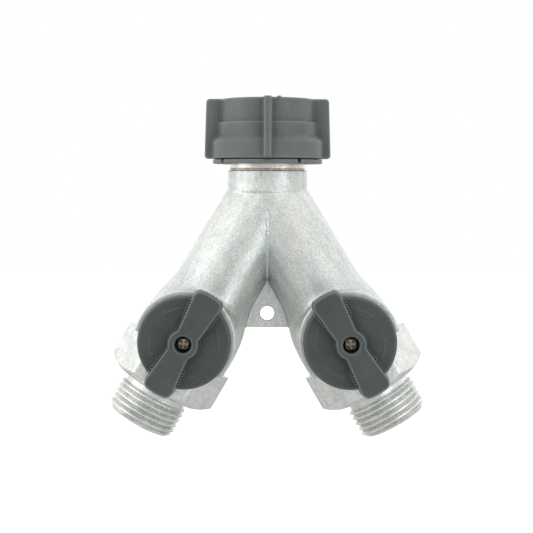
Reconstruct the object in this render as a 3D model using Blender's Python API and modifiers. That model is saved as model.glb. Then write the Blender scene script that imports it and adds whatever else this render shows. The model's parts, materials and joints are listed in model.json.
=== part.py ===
"""Two-way hose splitter: a die-cast Y body, a swivel nut for the tap and a ball valve in each arm.

Metres, +Z up. The splitter hangs from a tap: the origin is the centre of the hose washer's top face, where
the tap seals, +Z runs up the inlet and -Y points out through the knobs.
"""

import math

import bmesh
import bpy
from mathutils import Matrix

PART = "hose_splitter"
SIDES = {"left": -1, "right": 1}

# Clearances and mesh settings
# PAST is how far a cutter or a joined shape runs past a surface, EDGE a small chamfer
GAP = 0.0003
RUNNING = 0.0001
MERGE = 0.00001
PAST = 0.001
EDGE = 0.0005
LARGE_STEPS = 32
MEDIUM_STEPS = 20
SMALL_STEPS = 16
SHARP_ANGLE = math.radians(34)

# Garden hose thread, 3/4-11.5 NH
PITCH = 0.0254 / 11.5
MALE_CREST_R = 0.01345
MALE_ROOT_R = 0.01215
FEMALE_CREST_R = 0.01235
FEMALE_ROOT_R = 0.0136

# Swivel nut: three stepped bands and four grip lugs
NUT_TOP = 0.0093
NUT_BOTTOM = -0.0136
NUT_TOP_R = 0.0178
NUT_MIDDLE_R = 0.0189
NUT_LOWER_R = 0.0213
NUT_MIDDLE_TOP = 0.0004
NUT_MIDDLE_BOTTOM = -0.0044
NUT_CAVITY_R = 0.0176
NUT_CAVITY_TOP = -0.0030
NUT_TOP_CHAMFER = 0.0009
NUT_MOUTH_CHAMFER = 0.0008
FEMALE_THREAD_START = 0.0009
FEMALE_THREAD_TURNS = 3
LUG_COUNT = 4
LUG_THICKNESS = 0.0032
LUG_TOP_R = 0.0235
LUG_BOTTOM_R = 0.0242
LUG_TOP = 0.0095
LUG_BOTTOM = -0.0136
LUG_TOP_CORNER = 0.0015
LUG_BOTTOM_CORNER = 0.0022
LUG_ROOT = 0.0020

# Retainer ring pressed into the nut from below
RETAINER_BOTTOM = -0.0155
RETAINER_RIM_R = 0.0210
RETAINER_BORE_R = 0.0148
RETAINER_SLOT_WIDTH = 0.0018
RETAINER_SLOT_DEPTH = 0.0022
RETAINER_SLOT_ANGLE = math.radians(35)

# Hose washer
WASHER_R = 0.0122
WASHER_BORE_R = 0.0080
WASHER_THICKNESS = 0.0030

# Body: inlet tailpiece, arms and web
FLANGE_R = 0.0169
FLANGE_TOP = -WASHER_THICKNESS - GAP
FLANGE_BOTTOM = -0.0065
NECK_R = 0.0145
NECK_BOTTOM = -0.01755
NECK_GROOVE = 0.0005
COLLAR_R = 0.0151
COLLAR_TOP = -0.0180
INLET_BORE_R = 0.0095
JUNCTION_Z = -0.0288
ARM_ANGLE = math.radians(30)
ARM_R = 0.0154
JUNCTION_R = ARM_R + 0.00015
COLLAR_BOTTOM = JUNCTION_Z + 0.0020
ARM_BORE_R = 0.0110
FLARE_START = 0.0380
FLARE_END = 0.0560
FLARE_R = 0.0194
FLARE_STEPS = 5
BODY_END = 0.0672
SPIGOT_R = 0.0164
SPIGOT_END = 0.0762
WEB_THICKNESS = 0.0030
WEB_TOP = JUNCTION_Z - 0.0220
WEB_BOTTOM = -0.0784
WEB_HALF_WIDTH = 0.0180
HANG_HOLE_R = 0.0029
HANG_HOLE_Z = -0.0729

# Ball valve
# Distances along the arm are from where the arms meet, heights are outwards from the ball's centre
VALVE_DISTANCE = 0.0616
CHAMBER_R = 0.0136
BALL_R = 0.0130
BALL_BORE_R = 0.0085
SEAT_NEAR = 0.0070
SEAT_FAR = 0.0113
SEAT_BORE_R = 0.0087
SEAT_CLEARANCE = 0.00025
BOSS_R = 0.0195
BOSS_TOP = 0.0200
STEM_R = 0.0041
STEM_FLANGE_R = 0.0054
STEM_FLANGE_BOTTOM = 0.0134
STEM_FLANGE_TOP = 0.0147
STEM_TOP = 0.0206
POCKET_R = 0.0058
POCKET_BOTTOM = 0.0106
POCKET_TOP = 0.0158
GROOVE_FLOOR_R = 0.0031
GROOVE_WIDTH = 0.0014
GROOVE_CENTRES = {"inner": 0.0169, "outer": 0.0189}
O_RING_SECTION_R = 0.0005
O_RING_CLEARANCE = 0.00002
O_RING_SIDES = 6
TANG_THICKNESS = 0.0026
TANG_WIDTH = 0.0070
TANG_BOTTOM = 0.0106
SQUARE_SIDE = 0.0052
SQUARE_TOP = 0.0246

# Knob and its screw
KNOB_R = 0.0174
KNOB_BOTTOM = 0.0206
KNOB_FACE = 0.0250
KNOB_SKIRT = 0.00155
KNOB_CEILING = 0.0232
KNOB_EDGE = 0.0012
HUB_R = 0.0055
LEVER_TOP = 0.0320
LEVER_END_R = 0.0210
LEVER_WAIST = 0.0043
LEVER_END = 0.00595
LEVER_CORNER_R = 0.0025
LEVER_EDGE = 0.0006
HUB_TOP = LEVER_TOP - 0.0001
COUNTERBORE_R = 0.00306
COUNTERBORE_FLOOR = 0.0261
SCREW_HEAD_R = 0.0026
SCREW_HEAD_TOP = 0.0283
SCREW_R = 0.00145
SCREW_TIP = 0.0190
CROSS_LENGTH = 0.0028
CROSS_WIDTH = 0.0007
CROSS_DEPTH = 0.0011
STOP_WIDTH = 0.0032
STOP_INNER_R = 0.0090
STOP_OUTER_R = 0.0135
STOP_TOP = 0.0222
RIB_THICKNESS = 0.0018
RIB_BOTTOM = KNOB_BOTTOM + 0.0002
QUARTER_TURN = math.radians(90)

# Outlet fitting: hexagon cap and male hose thread
HEX_START = BODY_END + GAP
HEX_END = 0.0842
HEX_CORNER_R = 0.02185
HEX_FLAT_R = HEX_CORNER_R * math.cos(math.radians(30))
HEX_CHAMFER = 0.0030
HEX_END_R = 0.0167
CAP_BORE_R = SPIGOT_R + GAP
CAP_FLOOR = 0.0788
NOSE_R = CHAMBER_R - GAP
NOSE_START = VALVE_DISTANCE + SEAT_FAR + GAP
OUTLET_BORE_R = 0.0090
OUTLET_NECK_R = 0.0124
THREAD_START = 0.0873
THREAD_END = 0.0993
THREAD_CHAMFER = 0.0015
MALE_RIDGE_START = THREAD_START + 0.0014
MALE_RIDGE_TURNS = 5
RIDGE_SINK = 0.0004
OUTLET_RING_R = 0.0150
OUTLET_RING_SECTION_R = 0.0010

# Colours are linear, with metallic and roughness
FINISHES = {
    "cast_zinc": ((0.62, 0.64, 0.62), 0.85, 0.42),
    "fitting_zinc": ((0.58, 0.59, 0.56), 0.85, 0.38),
    "nut_plastic": ((0.17, 0.19, 0.18), 0.0, 0.5),
    "knob_plastic": ((0.07, 0.085, 0.075), 0.0, 0.5),
    "rubber": ((0.02, 0.02, 0.02), 0.0, 0.8),
    "ptfe": ((0.8, 0.8, 0.78), 0.0, 0.4),
    "brass": ((0.55, 0.4, 0.2), 1.0, 0.3),
    "chrome": ((0.7, 0.7, 0.7), 1.0, 0.08),
    "screw_metal": ((0.5, 0.45, 0.35), 1.0, 0.35),
}


def clear_scene():
    """Removes every object that the file opens with."""
    for obj in list(bpy.data.objects):
        bpy.data.objects.remove(obj, do_unlink=True)


def new_collection(name):
    """A collection linked to the scene."""
    collection = bpy.data.collections.new(name)
    bpy.context.scene.collection.children.link(collection)
    return collection


def new_material(name, finish):
    """A Principled material of its own for one sub-part."""
    colour, metallic, roughness = FINISHES[finish]
    material = bpy.data.materials.new(name)
    material.use_nodes = True
    shader = material.node_tree.nodes["Principled BSDF"]
    shader.inputs["Base Color"].default_value = (*colour, 1.0)
    shader.inputs["Metallic"].default_value = metallic
    shader.inputs["Roughness"].default_value = roughness
    material.diffuse_color = (*colour, 1.0)
    return material


def helper(name, mesh, place=None):
    """A cutter or a shape to be joined, kept out of renders."""
    obj = bpy.data.objects.new(name, mesh)
    cutters.objects.link(obj)
    obj.hide_render = True
    obj.display_type = "WIRE"
    if place is not None:
        obj.matrix_world = place
    return obj


def turned(name, outline, steps, closed=False, place=None):
    """Turns an outline of (radius, height) points once round Z. Its outer side runs from top to bottom."""
    mesh = bpy.data.meshes.new(name)
    edges = [(i, i + 1) for i in range(len(outline) - 1)]
    if closed:
        edges.append((len(outline) - 1, 0))
    mesh.from_pydata([(radius, 0.0, height) for radius, height in outline], edges, [])
    obj = helper(name, mesh, place)
    screw = obj.modifiers.new("turn", "SCREW")
    screw.steps = steps
    screw.render_steps = steps
    screw.use_merge_vertices = True
    screw.merge_threshold = MERGE
    return obj


def cylinder(name, radius, bottom, top, steps, place=None):
    """A plain solid cylinder on Z."""
    mesh = bpy.data.meshes.new(name)
    shape = bmesh.new()
    middle = Matrix.Translation((0, 0, (bottom + top) / 2))
    bmesh.ops.create_cone(
        shape,
        cap_ends=True,
        segments=steps,
        radius1=radius,
        radius2=radius,
        depth=top - bottom,
        matrix=middle,
    )
    shape.to_mesh(mesh)
    shape.free()
    return helper(name, mesh, place)


def block(name, low, high, place=None):
    """A box between two corners."""
    mesh = bpy.data.meshes.new(name)
    shape = bmesh.new()
    bmesh.ops.create_cube(shape, size=1.0)
    size = [high[i] - low[i] for i in range(3)]
    centre = [(high[i] + low[i]) / 2 for i in range(3)]
    bmesh.ops.scale(shape, vec=size, verts=shape.verts)
    bmesh.ops.translate(shape, vec=centre, verts=shape.verts)
    shape.to_mesh(mesh)
    shape.free()
    return helper(name, mesh, place)


def plate(name, outline, bottom, top, place=None):
    """A flat outline in XY given thickness along Z, made with a filled 2D curve."""
    curve = bpy.data.curves.new(name, "CURVE")
    curve.dimensions = "2D"
    curve.fill_mode = "BOTH"
    curve.extrude = (top - bottom) / 2
    spline = curve.splines.new("POLY")
    spline.points.add(len(outline) - 1)
    for point, (x, y) in zip(spline.points, outline):
        point.co = (x, y, 0.0, 1.0)
    spline.use_cyclic_u = True
    drawn = bpy.data.objects.new(name + "_outline", curve)
    cutters.objects.link(drawn)
    drawn.location.z = (top + bottom) / 2
    bpy.context.view_layer.update()
    graph = bpy.context.evaluated_depsgraph_get()
    mesh = bpy.data.meshes.new_from_object(drawn.evaluated_get(graph))
    mesh.transform(drawn.matrix_world)
    bpy.data.objects.remove(drawn)
    weld(mesh)
    return helper(name, mesh, place)


def weld(mesh):
    """Joins loose caps to their sides and turns every face outwards."""
    shape = bmesh.new()
    shape.from_mesh(mesh)
    bmesh.ops.remove_doubles(shape, verts=shape.verts, dist=MERGE / 10)
    bmesh.ops.recalc_face_normals(shape, faces=shape.faces)
    shape.to_mesh(mesh)
    shape.free()


def ball(name, radius, steps, place=None):
    """A sphere with its poles on Z."""
    mesh = bpy.data.meshes.new(name)
    shape = bmesh.new()
    bmesh.ops.create_uvsphere(shape, u_segments=steps, v_segments=steps // 2, radius=radius)
    shape.to_mesh(mesh)
    shape.free()
    return helper(name, mesh, place)


def thread_ridge(name, base_r, crest_r, start, turns, steps, place=None):
    """One helical ridge of the hose thread, its flanks leaning 30 degrees. A smaller crest_r points it in."""
    crest = PITCH / 16
    foot = crest + abs(crest_r - base_r) * math.tan(math.radians(30))
    outline = [(base_r, foot), (crest_r, crest), (crest_r, -crest), (base_r, -foot)]
    mesh = bpy.data.meshes.new(name)
    edges = [(i, (i + 1) % 4) for i in range(4)]
    mesh.from_pydata([(radius, 0.0, start + height) for radius, height in outline], edges, [])
    ridge = helper(name, mesh)
    screw = ridge.modifiers.new("helix", "SCREW")
    screw.screw_offset = PITCH
    screw.iterations = turns
    screw.steps = steps
    screw.render_steps = steps
    settle(ridge)
    shape = bmesh.new()
    shape.from_mesh(ridge.data)
    bmesh.ops.holes_fill(shape, edges=shape.edges, sides=4)
    bmesh.ops.recalc_face_normals(shape, faces=shape.faces)
    shape.to_mesh(ridge.data)
    shape.free()
    if place is not None:
        ridge.matrix_world = place
    return ridge


def settle(obj):
    """Replaces an object's mesh with what its modifiers make of it."""
    bpy.context.view_layer.update()
    graph = bpy.context.evaluated_depsgraph_get()
    made = bpy.data.meshes.new_from_object(obj.evaluated_get(graph))
    obj.modifiers.clear()
    obj.data = made


def combine(obj, operation, tools):
    """Runs one Boolean after another on an object and keeps the result."""
    for tool in tools:
        step = obj.modifiers.new(operation.lower(), "BOOLEAN")
        step.operation = operation
        step.solver = "EXACT"
        step.object = tool
    settle(obj)
    return obj


def become_part(obj, name, finish, pivot=None):
    """Makes a finished shape a visible sub-part with its own material, turning with a pivot if it moves."""
    settle(obj)
    weld(obj.data)
    obj.name = name
    obj.data.name = name
    cutters.objects.unlink(obj)
    parts.objects.link(obj)
    obj.hide_render = False
    obj.display_type = "TEXTURED"
    obj.data.materials.clear()
    obj.data.materials.append(new_material(name, finish))
    obj.data.shade_smooth()
    obj.data.set_sharp_from_angle(angle=SHARP_ANGLE)
    if pivot is not None:
        place = obj.matrix_world.copy()
        obj.parent = pivot
        obj.matrix_world = place
    return obj


def new_pivot(name, place):
    """An empty on a joint's axis."""
    pivot = bpy.data.objects.new(name, None)
    pivot.empty_display_size = 0.02
    parts.objects.link(pivot)
    pivot.matrix_world = place
    bpy.context.view_layer.update()
    return pivot


def arc(centre, radius, start, end, steps):
    """Points on an arc, with angles in degrees, from start to end."""
    angles = [math.radians(start + (end - start) * i / steps) for i in range(steps + 1)]
    return [(centre[0] + radius * math.cos(a), centre[1] + radius * math.sin(a)) for a in angles]


def smooth_step(t):
    """Runs from 0 to 1 and is level at both ends."""
    return t * t * (3 - 2 * t)


def arm_frame(side):
    """Origin where the arms meet, +Z down the arm's bore and -Y to the knob's side."""
    turn = Matrix.Rotation(side * (math.pi - ARM_ANGLE), 4, "Y")
    return Matrix.Translation((0, 0, JUNCTION_Z)) @ turn


def valve_frame(side):
    """Origin at the ball's centre, +Z out through the knob and +Y down the arm."""
    along = Matrix.Translation((0, 0, VALVE_DISTANCE))
    return arm_frame(side) @ along @ Matrix.Rotation(math.radians(90), 4, "X")


def spin(angle):
    """A turn about Z."""
    return Matrix.Rotation(angle, 4, "Z")


def make_nut(pivot):
    """Swivel nut with an internal hose thread, a cavity for the body's flange and four lugs."""
    lower_top = NUT_MIDDLE_BOTTOM - (NUT_LOWER_R - NUT_MIDDLE_R)
    outline = [
        (NUT_TOP_R - NUT_TOP_CHAMFER, NUT_TOP),
        (NUT_TOP_R, NUT_TOP - NUT_TOP_CHAMFER),
        (NUT_TOP_R, NUT_MIDDLE_TOP + EDGE),
        (NUT_MIDDLE_R, NUT_MIDDLE_TOP - EDGE),
        (NUT_MIDDLE_R, NUT_MIDDLE_BOTTOM),
        (NUT_LOWER_R, lower_top),
        (NUT_LOWER_R, NUT_BOTTOM + EDGE),
        (NUT_LOWER_R - EDGE, NUT_BOTTOM),
        (NUT_CAVITY_R, NUT_BOTTOM),
        (NUT_CAVITY_R, NUT_CAVITY_TOP),
        (FEMALE_ROOT_R, NUT_CAVITY_TOP),
        (FEMALE_ROOT_R, NUT_TOP - NUT_MOUTH_CHAMFER),
        (FEMALE_ROOT_R + NUT_MOUTH_CHAMFER, NUT_TOP),
    ]
    nut = turned("nut", outline, LARGE_STEPS, closed=True)
    wall_r = (NUT_CAVITY_R + NUT_MIDDLE_R) / 2
    top_corner = (LUG_TOP_R - LUG_TOP_CORNER, LUG_TOP - LUG_TOP_CORNER)
    bottom_corner = (LUG_BOTTOM_R - LUG_BOTTOM_CORNER, LUG_BOTTOM + LUG_BOTTOM_CORNER)
    lug_outline = [
        (NUT_TOP_R - LUG_ROOT, LUG_TOP),
        *arc(top_corner, LUG_TOP_CORNER, 90, 0, 3),
        *arc(bottom_corner, LUG_BOTTOM_CORNER, 0, -90, 3),
        (NUT_LOWER_R - LUG_ROOT, LUG_BOTTOM),
        (NUT_LOWER_R - LUG_ROOT, lower_top - PAST),
        (wall_r, NUT_MIDDLE_BOTTOM),
        (wall_r, NUT_CAVITY_TOP + LUG_ROOT),
        (NUT_TOP_R - LUG_ROOT, NUT_CAVITY_TOP + LUG_ROOT + PAST),
    ]
    stand = Matrix.Rotation(math.radians(90), 4, "X")
    half = LUG_THICKNESS / 2
    lugs = []
    for number in range(LUG_COUNT):
        place = spin(2 * math.pi * number / LUG_COUNT) @ stand
        lugs.append(plate(f"lug_{number}", lug_outline, -half, half, place))
    combine(nut, "UNION", lugs)
    ridge = thread_ridge(
        "nut_thread",
        FEMALE_ROOT_R + RIDGE_SINK,
        FEMALE_CREST_R,
        FEMALE_THREAD_START,
        FEMALE_THREAD_TURNS,
        SMALL_STEPS,
    )
    combine(nut, "UNION", [ridge])
    return become_part(nut, "swivel_nut", "nut_plastic", pivot)


def make_retainer(pivot):
    """Ring that closes the nut's cavity under the body's flange, with four spanner slots in its rim."""
    sleeve_r = NUT_CAVITY_R - GAP
    rim_top = NUT_BOTTOM - GAP
    outline = [
        (sleeve_r, FLANGE_BOTTOM - GAP),
        (sleeve_r, rim_top),
        (RETAINER_RIM_R, rim_top),
        (RETAINER_RIM_R, RETAINER_BOTTOM + EDGE),
        (RETAINER_RIM_R - EDGE, RETAINER_BOTTOM),
        (RETAINER_BORE_R, RETAINER_BOTTOM),
        (RETAINER_BORE_R, FLANGE_BOTTOM - GAP),
    ]
    ring = turned("retainer", outline, LARGE_STEPS, closed=True)
    half = RETAINER_SLOT_WIDTH / 2
    slots = []
    for number in range(LUG_COUNT):
        place = spin(RETAINER_SLOT_ANGLE + 2 * math.pi * number / LUG_COUNT)
        low = (RETAINER_RIM_R - RETAINER_SLOT_DEPTH, -half, RETAINER_BOTTOM - PAST)
        high = (RETAINER_RIM_R + PAST, half, rim_top + PAST)
        slots.append(block(f"retainer_slot_{number}", low, high, place))
    combine(ring, "DIFFERENCE", slots)
    return become_part(ring, "nut_retainer_ring", "nut_plastic", pivot)


def make_washer(pivot):
    """Flat rubber hose washer that sits on the body's flange."""
    outline = [
        (WASHER_R, 0.0),
        (WASHER_R, -WASHER_THICKNESS),
        (WASHER_BORE_R, -WASHER_THICKNESS),
        (WASHER_BORE_R, 0.0),
    ]
    washer = turned("washer", outline, MEDIUM_STEPS, closed=True)
    return become_part(washer, "hose_washer", "rubber", pivot)


def arm_outline():
    """Outside of one arm: the spigot, the flared valve housing and the tube."""
    flare = []
    for i in range(FLARE_STEPS):
        t = i / FLARE_STEPS
        distance = FLARE_END - (FLARE_END - FLARE_START) * t
        flare.append((FLARE_R - (FLARE_R - ARM_R) * smooth_step(t), distance))
    return [
        (0.0, SPIGOT_END),
        (SPIGOT_R - EDGE, SPIGOT_END),
        (SPIGOT_R, SPIGOT_END - EDGE),
        (SPIGOT_R, BODY_END),
        (FLARE_R - EDGE, BODY_END),
        (FLARE_R, BODY_END - EDGE),
        *flare,
        (ARM_R, FLARE_START),
        (ARM_R, 0.0),
        (0.0, 0.0),
    ]


def arm_shapes(side, label):
    """The outer shapes of one arm, and the shapes bored out of it."""
    arm = arm_frame(side)
    valve = valve_frame(side)
    tube = turned(f"arm_{label}", arm_outline(), LARGE_STEPS, place=arm)
    boss = cylinder(f"boss_{label}", BOSS_R, 0.0, BOSS_TOP, LARGE_STEPS, valve)
    reach = BOSS_R + PAST
    trim_low = (-reach, -reach, BODY_END - RUNNING)
    past_end = block(f"boss_trim_{label}", trim_low, (reach, reach, BODY_END + reach), arm)
    combine(boss, "DIFFERENCE", [past_end])
    half = STOP_WIDTH / 2
    stop_low = (STOP_INNER_R, -half, BOSS_TOP - PAST)
    stop_high = (STOP_OUTER_R, half, STOP_TOP)
    stop = block(f"stop_{label}", stop_low, stop_high, valve)
    waterway = [
        (0.0, SPIGOT_END + PAST),
        (CHAMBER_R, SPIGOT_END + PAST),
        (CHAMBER_R, VALVE_DISTANCE - SEAT_FAR - GAP),
        (ARM_BORE_R, VALVE_DISTANCE - SEAT_FAR - GAP),
        (ARM_BORE_R, 0.0),
        (0.0, 0.0),
    ]
    stem_bore = [
        (0.0, BOSS_TOP + PAST),
        (STEM_R + RUNNING, BOSS_TOP + PAST),
        (STEM_R + RUNNING, POCKET_TOP),
        (POCKET_R, POCKET_TOP),
        (POCKET_R, POCKET_BOTTOM),
        (0.0, POCKET_BOTTOM),
    ]
    bores = [
        turned(f"waterway_{label}", waterway, MEDIUM_STEPS, place=arm),
        turned(f"stem_bore_{label}", stem_bore, MEDIUM_STEPS, place=valve),
    ]
    return [tube, boss, stop], bores


def make_body():
    """Die-cast Y body: flanged tailpiece, two arms with valve housings and a web with a hanging hole."""
    outline = [
        (0.0, FLANGE_TOP),
        (FLANGE_R, FLANGE_TOP),
        (FLANGE_R, FLANGE_BOTTOM),
        (NECK_R, FLANGE_BOTTOM),
        (NECK_R, NECK_BOTTOM),
        (NECK_R - NECK_GROOVE, NECK_BOTTOM),
        (NECK_R - NECK_GROOVE, COLLAR_TOP),
        (COLLAR_R - EDGE, COLLAR_TOP),
        (COLLAR_R, COLLAR_TOP - EDGE),
        (COLLAR_R, COLLAR_BOTTOM),
        (0.0, COLLAR_BOTTOM),
    ]
    body = turned("tailpiece", outline, LARGE_STEPS)
    stand = Matrix.Rotation(math.radians(90), 4, "X")
    web_outline = [
        (0.0, WEB_TOP),
        (WEB_HALF_WIDTH, WEB_BOTTOM),
        (-WEB_HALF_WIDTH, WEB_BOTTOM),
    ]
    half = WEB_THICKNESS / 2
    solids = [
        ball("junction", JUNCTION_R, LARGE_STEPS, Matrix.Translation((0, 0, JUNCTION_Z))),
        plate("web", web_outline, -half, half, stand),
    ]
    inlet = [
        (0.0, FLANGE_TOP + PAST),
        (INLET_BORE_R, FLANGE_TOP + PAST),
        (INLET_BORE_R, JUNCTION_Z - 2 * PAST),
        (0.0, JUNCTION_Z - 2 * PAST),
    ]
    hole_place = Matrix.Translation((0, 0, HANG_HOLE_Z)) @ stand
    bores = [
        turned("inlet_bore", inlet, MEDIUM_STEPS),
        cylinder("hang_hole", HANG_HOLE_R, -WEB_THICKNESS, WEB_THICKNESS, MEDIUM_STEPS, hole_place),
    ]
    for label, side in SIDES.items():
        arm_solids, arm_bores = arm_shapes(side, label)
        solids += arm_solids
        bores += arm_bores
    combine(body, "UNION", solids)
    combine(body, "DIFFERENCE", bores)
    return become_part(body, "body", "cast_zinc")


def make_outlet_fitting(label, side):
    """Hexagon cap that closes the valve chamber and carries the male hose thread."""
    arm = arm_frame(side)
    core_outline = [
        (0.0, THREAD_END),
        (MALE_ROOT_R, THREAD_END),
        (MALE_ROOT_R, THREAD_START),
        (OUTLET_NECK_R, THREAD_START - EDGE),
        (OUTLET_NECK_R, HEX_START + PAST),
        (0.0, HEX_START + PAST),
    ]
    fitting = turned(f"fitting_{label}", core_outline, MEDIUM_STEPS, place=arm)
    flat_to_front = arm @ spin(math.radians(30))
    hexagon = cylinder(f"hexagon_{label}", HEX_CORNER_R, HEX_START, HEX_END, 6, flat_to_front)
    chamfer_r = HEX_CORNER_R + GAP
    envelope_outline = [
        (0.0, HEX_END + GAP),
        (HEX_END_R, HEX_END + GAP),
        (HEX_END_R, HEX_END),
        (chamfer_r, HEX_END - HEX_CHAMFER),
        (chamfer_r, HEX_START - GAP),
        (0.0, HEX_START - GAP),
    ]
    envelope = turned(f"hexagon_trim_{label}", envelope_outline, LARGE_STEPS, place=arm)
    combine(hexagon, "INTERSECT", [envelope])
    ridge = thread_ridge(
        f"thread_{label}",
        MALE_ROOT_R - RIDGE_SINK,
        MALE_CREST_R,
        MALE_RIDGE_START,
        MALE_RIDGE_TURNS,
        SMALL_STEPS,
        arm,
    )
    past_crest_r = MALE_CREST_R + RIDGE_SINK
    trim_end = THREAD_END - RUNNING
    trim_outline = [
        (0.0, trim_end),
        (MALE_ROOT_R - 2 * RUNNING, trim_end),
        (past_crest_r, THREAD_END - THREAD_CHAMFER),
        (past_crest_r, THREAD_START - PAST),
        (0.0, THREAD_START - PAST),
    ]
    ridge_trim = turned(f"thread_trim_{label}", trim_outline, MEDIUM_STEPS, place=arm)
    combine(ridge, "INTERSECT", [ridge_trim])
    cavity = cylinder(
        f"cap_bore_{label}", CAP_BORE_R, HEX_START - PAST, CAP_FLOOR, MEDIUM_STEPS, arm
    )
    nose = cylinder(f"nose_{label}", NOSE_R, NOSE_START, CAP_FLOOR + PAST, MEDIUM_STEPS, arm)
    bore = cylinder(
        f"outlet_bore_{label}", OUTLET_BORE_R, NOSE_START - PAST, THREAD_END + PAST, MEDIUM_STEPS, arm
    )
    combine(fitting, "UNION", [hexagon, ridge])
    combine(fitting, "DIFFERENCE", [cavity])
    combine(fitting, "UNION", [nose])
    combine(fitting, "DIFFERENCE", [bore])
    return become_part(fitting, f"outlet_fitting_{label}", "fitting_zinc")


def make_o_ring(name, ring_r, section_r, height, frame, pivot=None):
    """A rubber ring of round section."""
    outline = []
    for i in range(O_RING_SIDES):
        angle = math.radians(90 - 360 * i / O_RING_SIDES)
        outline.append((ring_r + section_r * math.cos(angle), height + section_r * math.sin(angle)))
    ring = turned(name + "_turned", outline, SMALL_STEPS, closed=True, place=frame)
    return become_part(ring, name, "rubber", pivot)


def make_seat(name, side, direction):
    """PTFE seat ring beside the ball. Its inner face is a zone of a sphere round the ball's centre."""
    sphere_r = BALL_R + SEAT_CLEARANCE
    inner = math.asin(SEAT_BORE_R / sphere_r)
    outer = math.acos(SEAT_NEAR / sphere_r)
    steps = 3
    zone = []
    for i in range(steps + 1):
        angle = outer + (inner - outer) * i / steps
        zone.append((sphere_r * math.sin(angle), sphere_r * math.cos(angle)))
    outline = [(NOSE_R, SEAT_FAR), (NOSE_R, SEAT_NEAR), *zone, (SEAT_BORE_R, SEAT_FAR)]
    turn = Matrix.Identity(4) if direction > 0 else Matrix.Rotation(math.pi, 4, "X")
    place = arm_frame(side) @ Matrix.Translation((0, 0, VALVE_DISTANCE)) @ turn
    seat = turned(name + "_turned", outline, MEDIUM_STEPS, closed=True, place=place)
    return become_part(seat, name, "ptfe")


def make_ball(label, side, pivot):
    """Drilled ball with a slot across its top for the stem's tang."""
    valve = valve_frame(side)
    along = valve @ Matrix.Rotation(math.radians(90), 4, "X")
    sphere = ball(f"sphere_{label}", BALL_R, MEDIUM_STEPS, along)
    past_ball = BALL_R + PAST
    bore = cylinder(f"ball_bore_{label}", BALL_BORE_R, -past_ball, past_ball, SMALL_STEPS, along)
    half = TANG_THICKNESS / 2 + GAP
    slot_low = (-past_ball, -half, TANG_BOTTOM - GAP)
    slot = block(f"ball_slot_{label}", slot_low, (past_ball, half, past_ball), valve)
    combine(sphere, "DIFFERENCE", [bore, slot])
    return become_part(sphere, f"ball_{label}", "chrome", pivot)


def make_stem(label, side, pivot):
    """Brass stem: a tang in the ball's slot, a flange, two O-ring grooves and a square for the knob."""
    valve = valve_frame(side)
    outline = [(0.0, STEM_TOP), (STEM_R, STEM_TOP)]
    for centre in sorted(GROOVE_CENTRES.values(), reverse=True):
        top = centre + GROOVE_WIDTH / 2
        bottom = centre - GROOVE_WIDTH / 2
        outline += [(STEM_R, top), (GROOVE_FLOOR_R, top), (GROOVE_FLOOR_R, bottom), (STEM_R, bottom)]
    outline += [
        (STEM_R, STEM_FLANGE_TOP),
        (STEM_FLANGE_R, STEM_FLANGE_TOP),
        (STEM_FLANGE_R, STEM_FLANGE_BOTTOM),
        (0.0, STEM_FLANGE_BOTTOM),
    ]
    stem = turned(f"stem_turned_{label}", outline, SMALL_STEPS, place=valve)
    half = SQUARE_SIDE / 2
    square = block(f"square_{label}", (-half, -half, STEM_TOP - PAST), (half, half, SQUARE_TOP), valve)
    width, thickness = TANG_WIDTH / 2, TANG_THICKNESS / 2
    tang_high = (width, thickness, STEM_FLANGE_BOTTOM + EDGE)
    tang = block(f"tang_{label}", (-width, -thickness, TANG_BOTTOM), tang_high, valve)
    pilot = cylinder(
        f"pilot_{label}", SCREW_R + GAP, SCREW_TIP - GAP, SQUARE_TOP + PAST, SMALL_STEPS, valve
    )
    combine(stem, "UNION", [square, tang])
    combine(stem, "DIFFERENCE", [pilot])
    return become_part(stem, f"stem_{label}", "brass", pivot)


def make_thrust_washer(label, side, pivot):
    """Low-friction ring between the stem's flange and the body."""
    outer, inner = STEM_FLANGE_R, STEM_R + 2 * RUNNING
    bottom, top = STEM_FLANGE_TOP + GAP, POCKET_TOP - GAP
    outline = [(outer, top), (outer, bottom), (inner, bottom), (inner, top)]
    name = f"stem_thrust_washer_{label}"
    ring = turned(name + "_turned", outline, SMALL_STEPS, closed=True, place=valve_frame(side))
    return become_part(ring, name, "ptfe", pivot)


def lever_outline():
    """Bow-tie handle seen from above: narrow at the hub, with round-cornered ends on one circle."""
    end_angle = math.asin((LEVER_END - LEVER_CORNER_R) / (LEVER_END_R - LEVER_CORNER_R))
    centre_r = LEVER_END_R - LEVER_CORNER_R
    centre = (centre_r * math.sin(end_angle), centre_r * math.cos(end_angle))
    side_angle = math.degrees(math.atan2(LEVER_WAIST - LEVER_END, centre[1] - LEVER_WAIST))
    corner = arc(centre, LEVER_CORNER_R, side_angle, 90 - math.degrees(end_angle), 4)
    quarter = [(LEVER_WAIST, LEVER_WAIST), *corner, (0.0, LEVER_END_R)]
    top_left = [(-x, y) for x, y in reversed(quarter[:-1])]
    upper = quarter + top_left
    lower = [(-x, -y) for x, y in upper]
    return upper + lower


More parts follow.
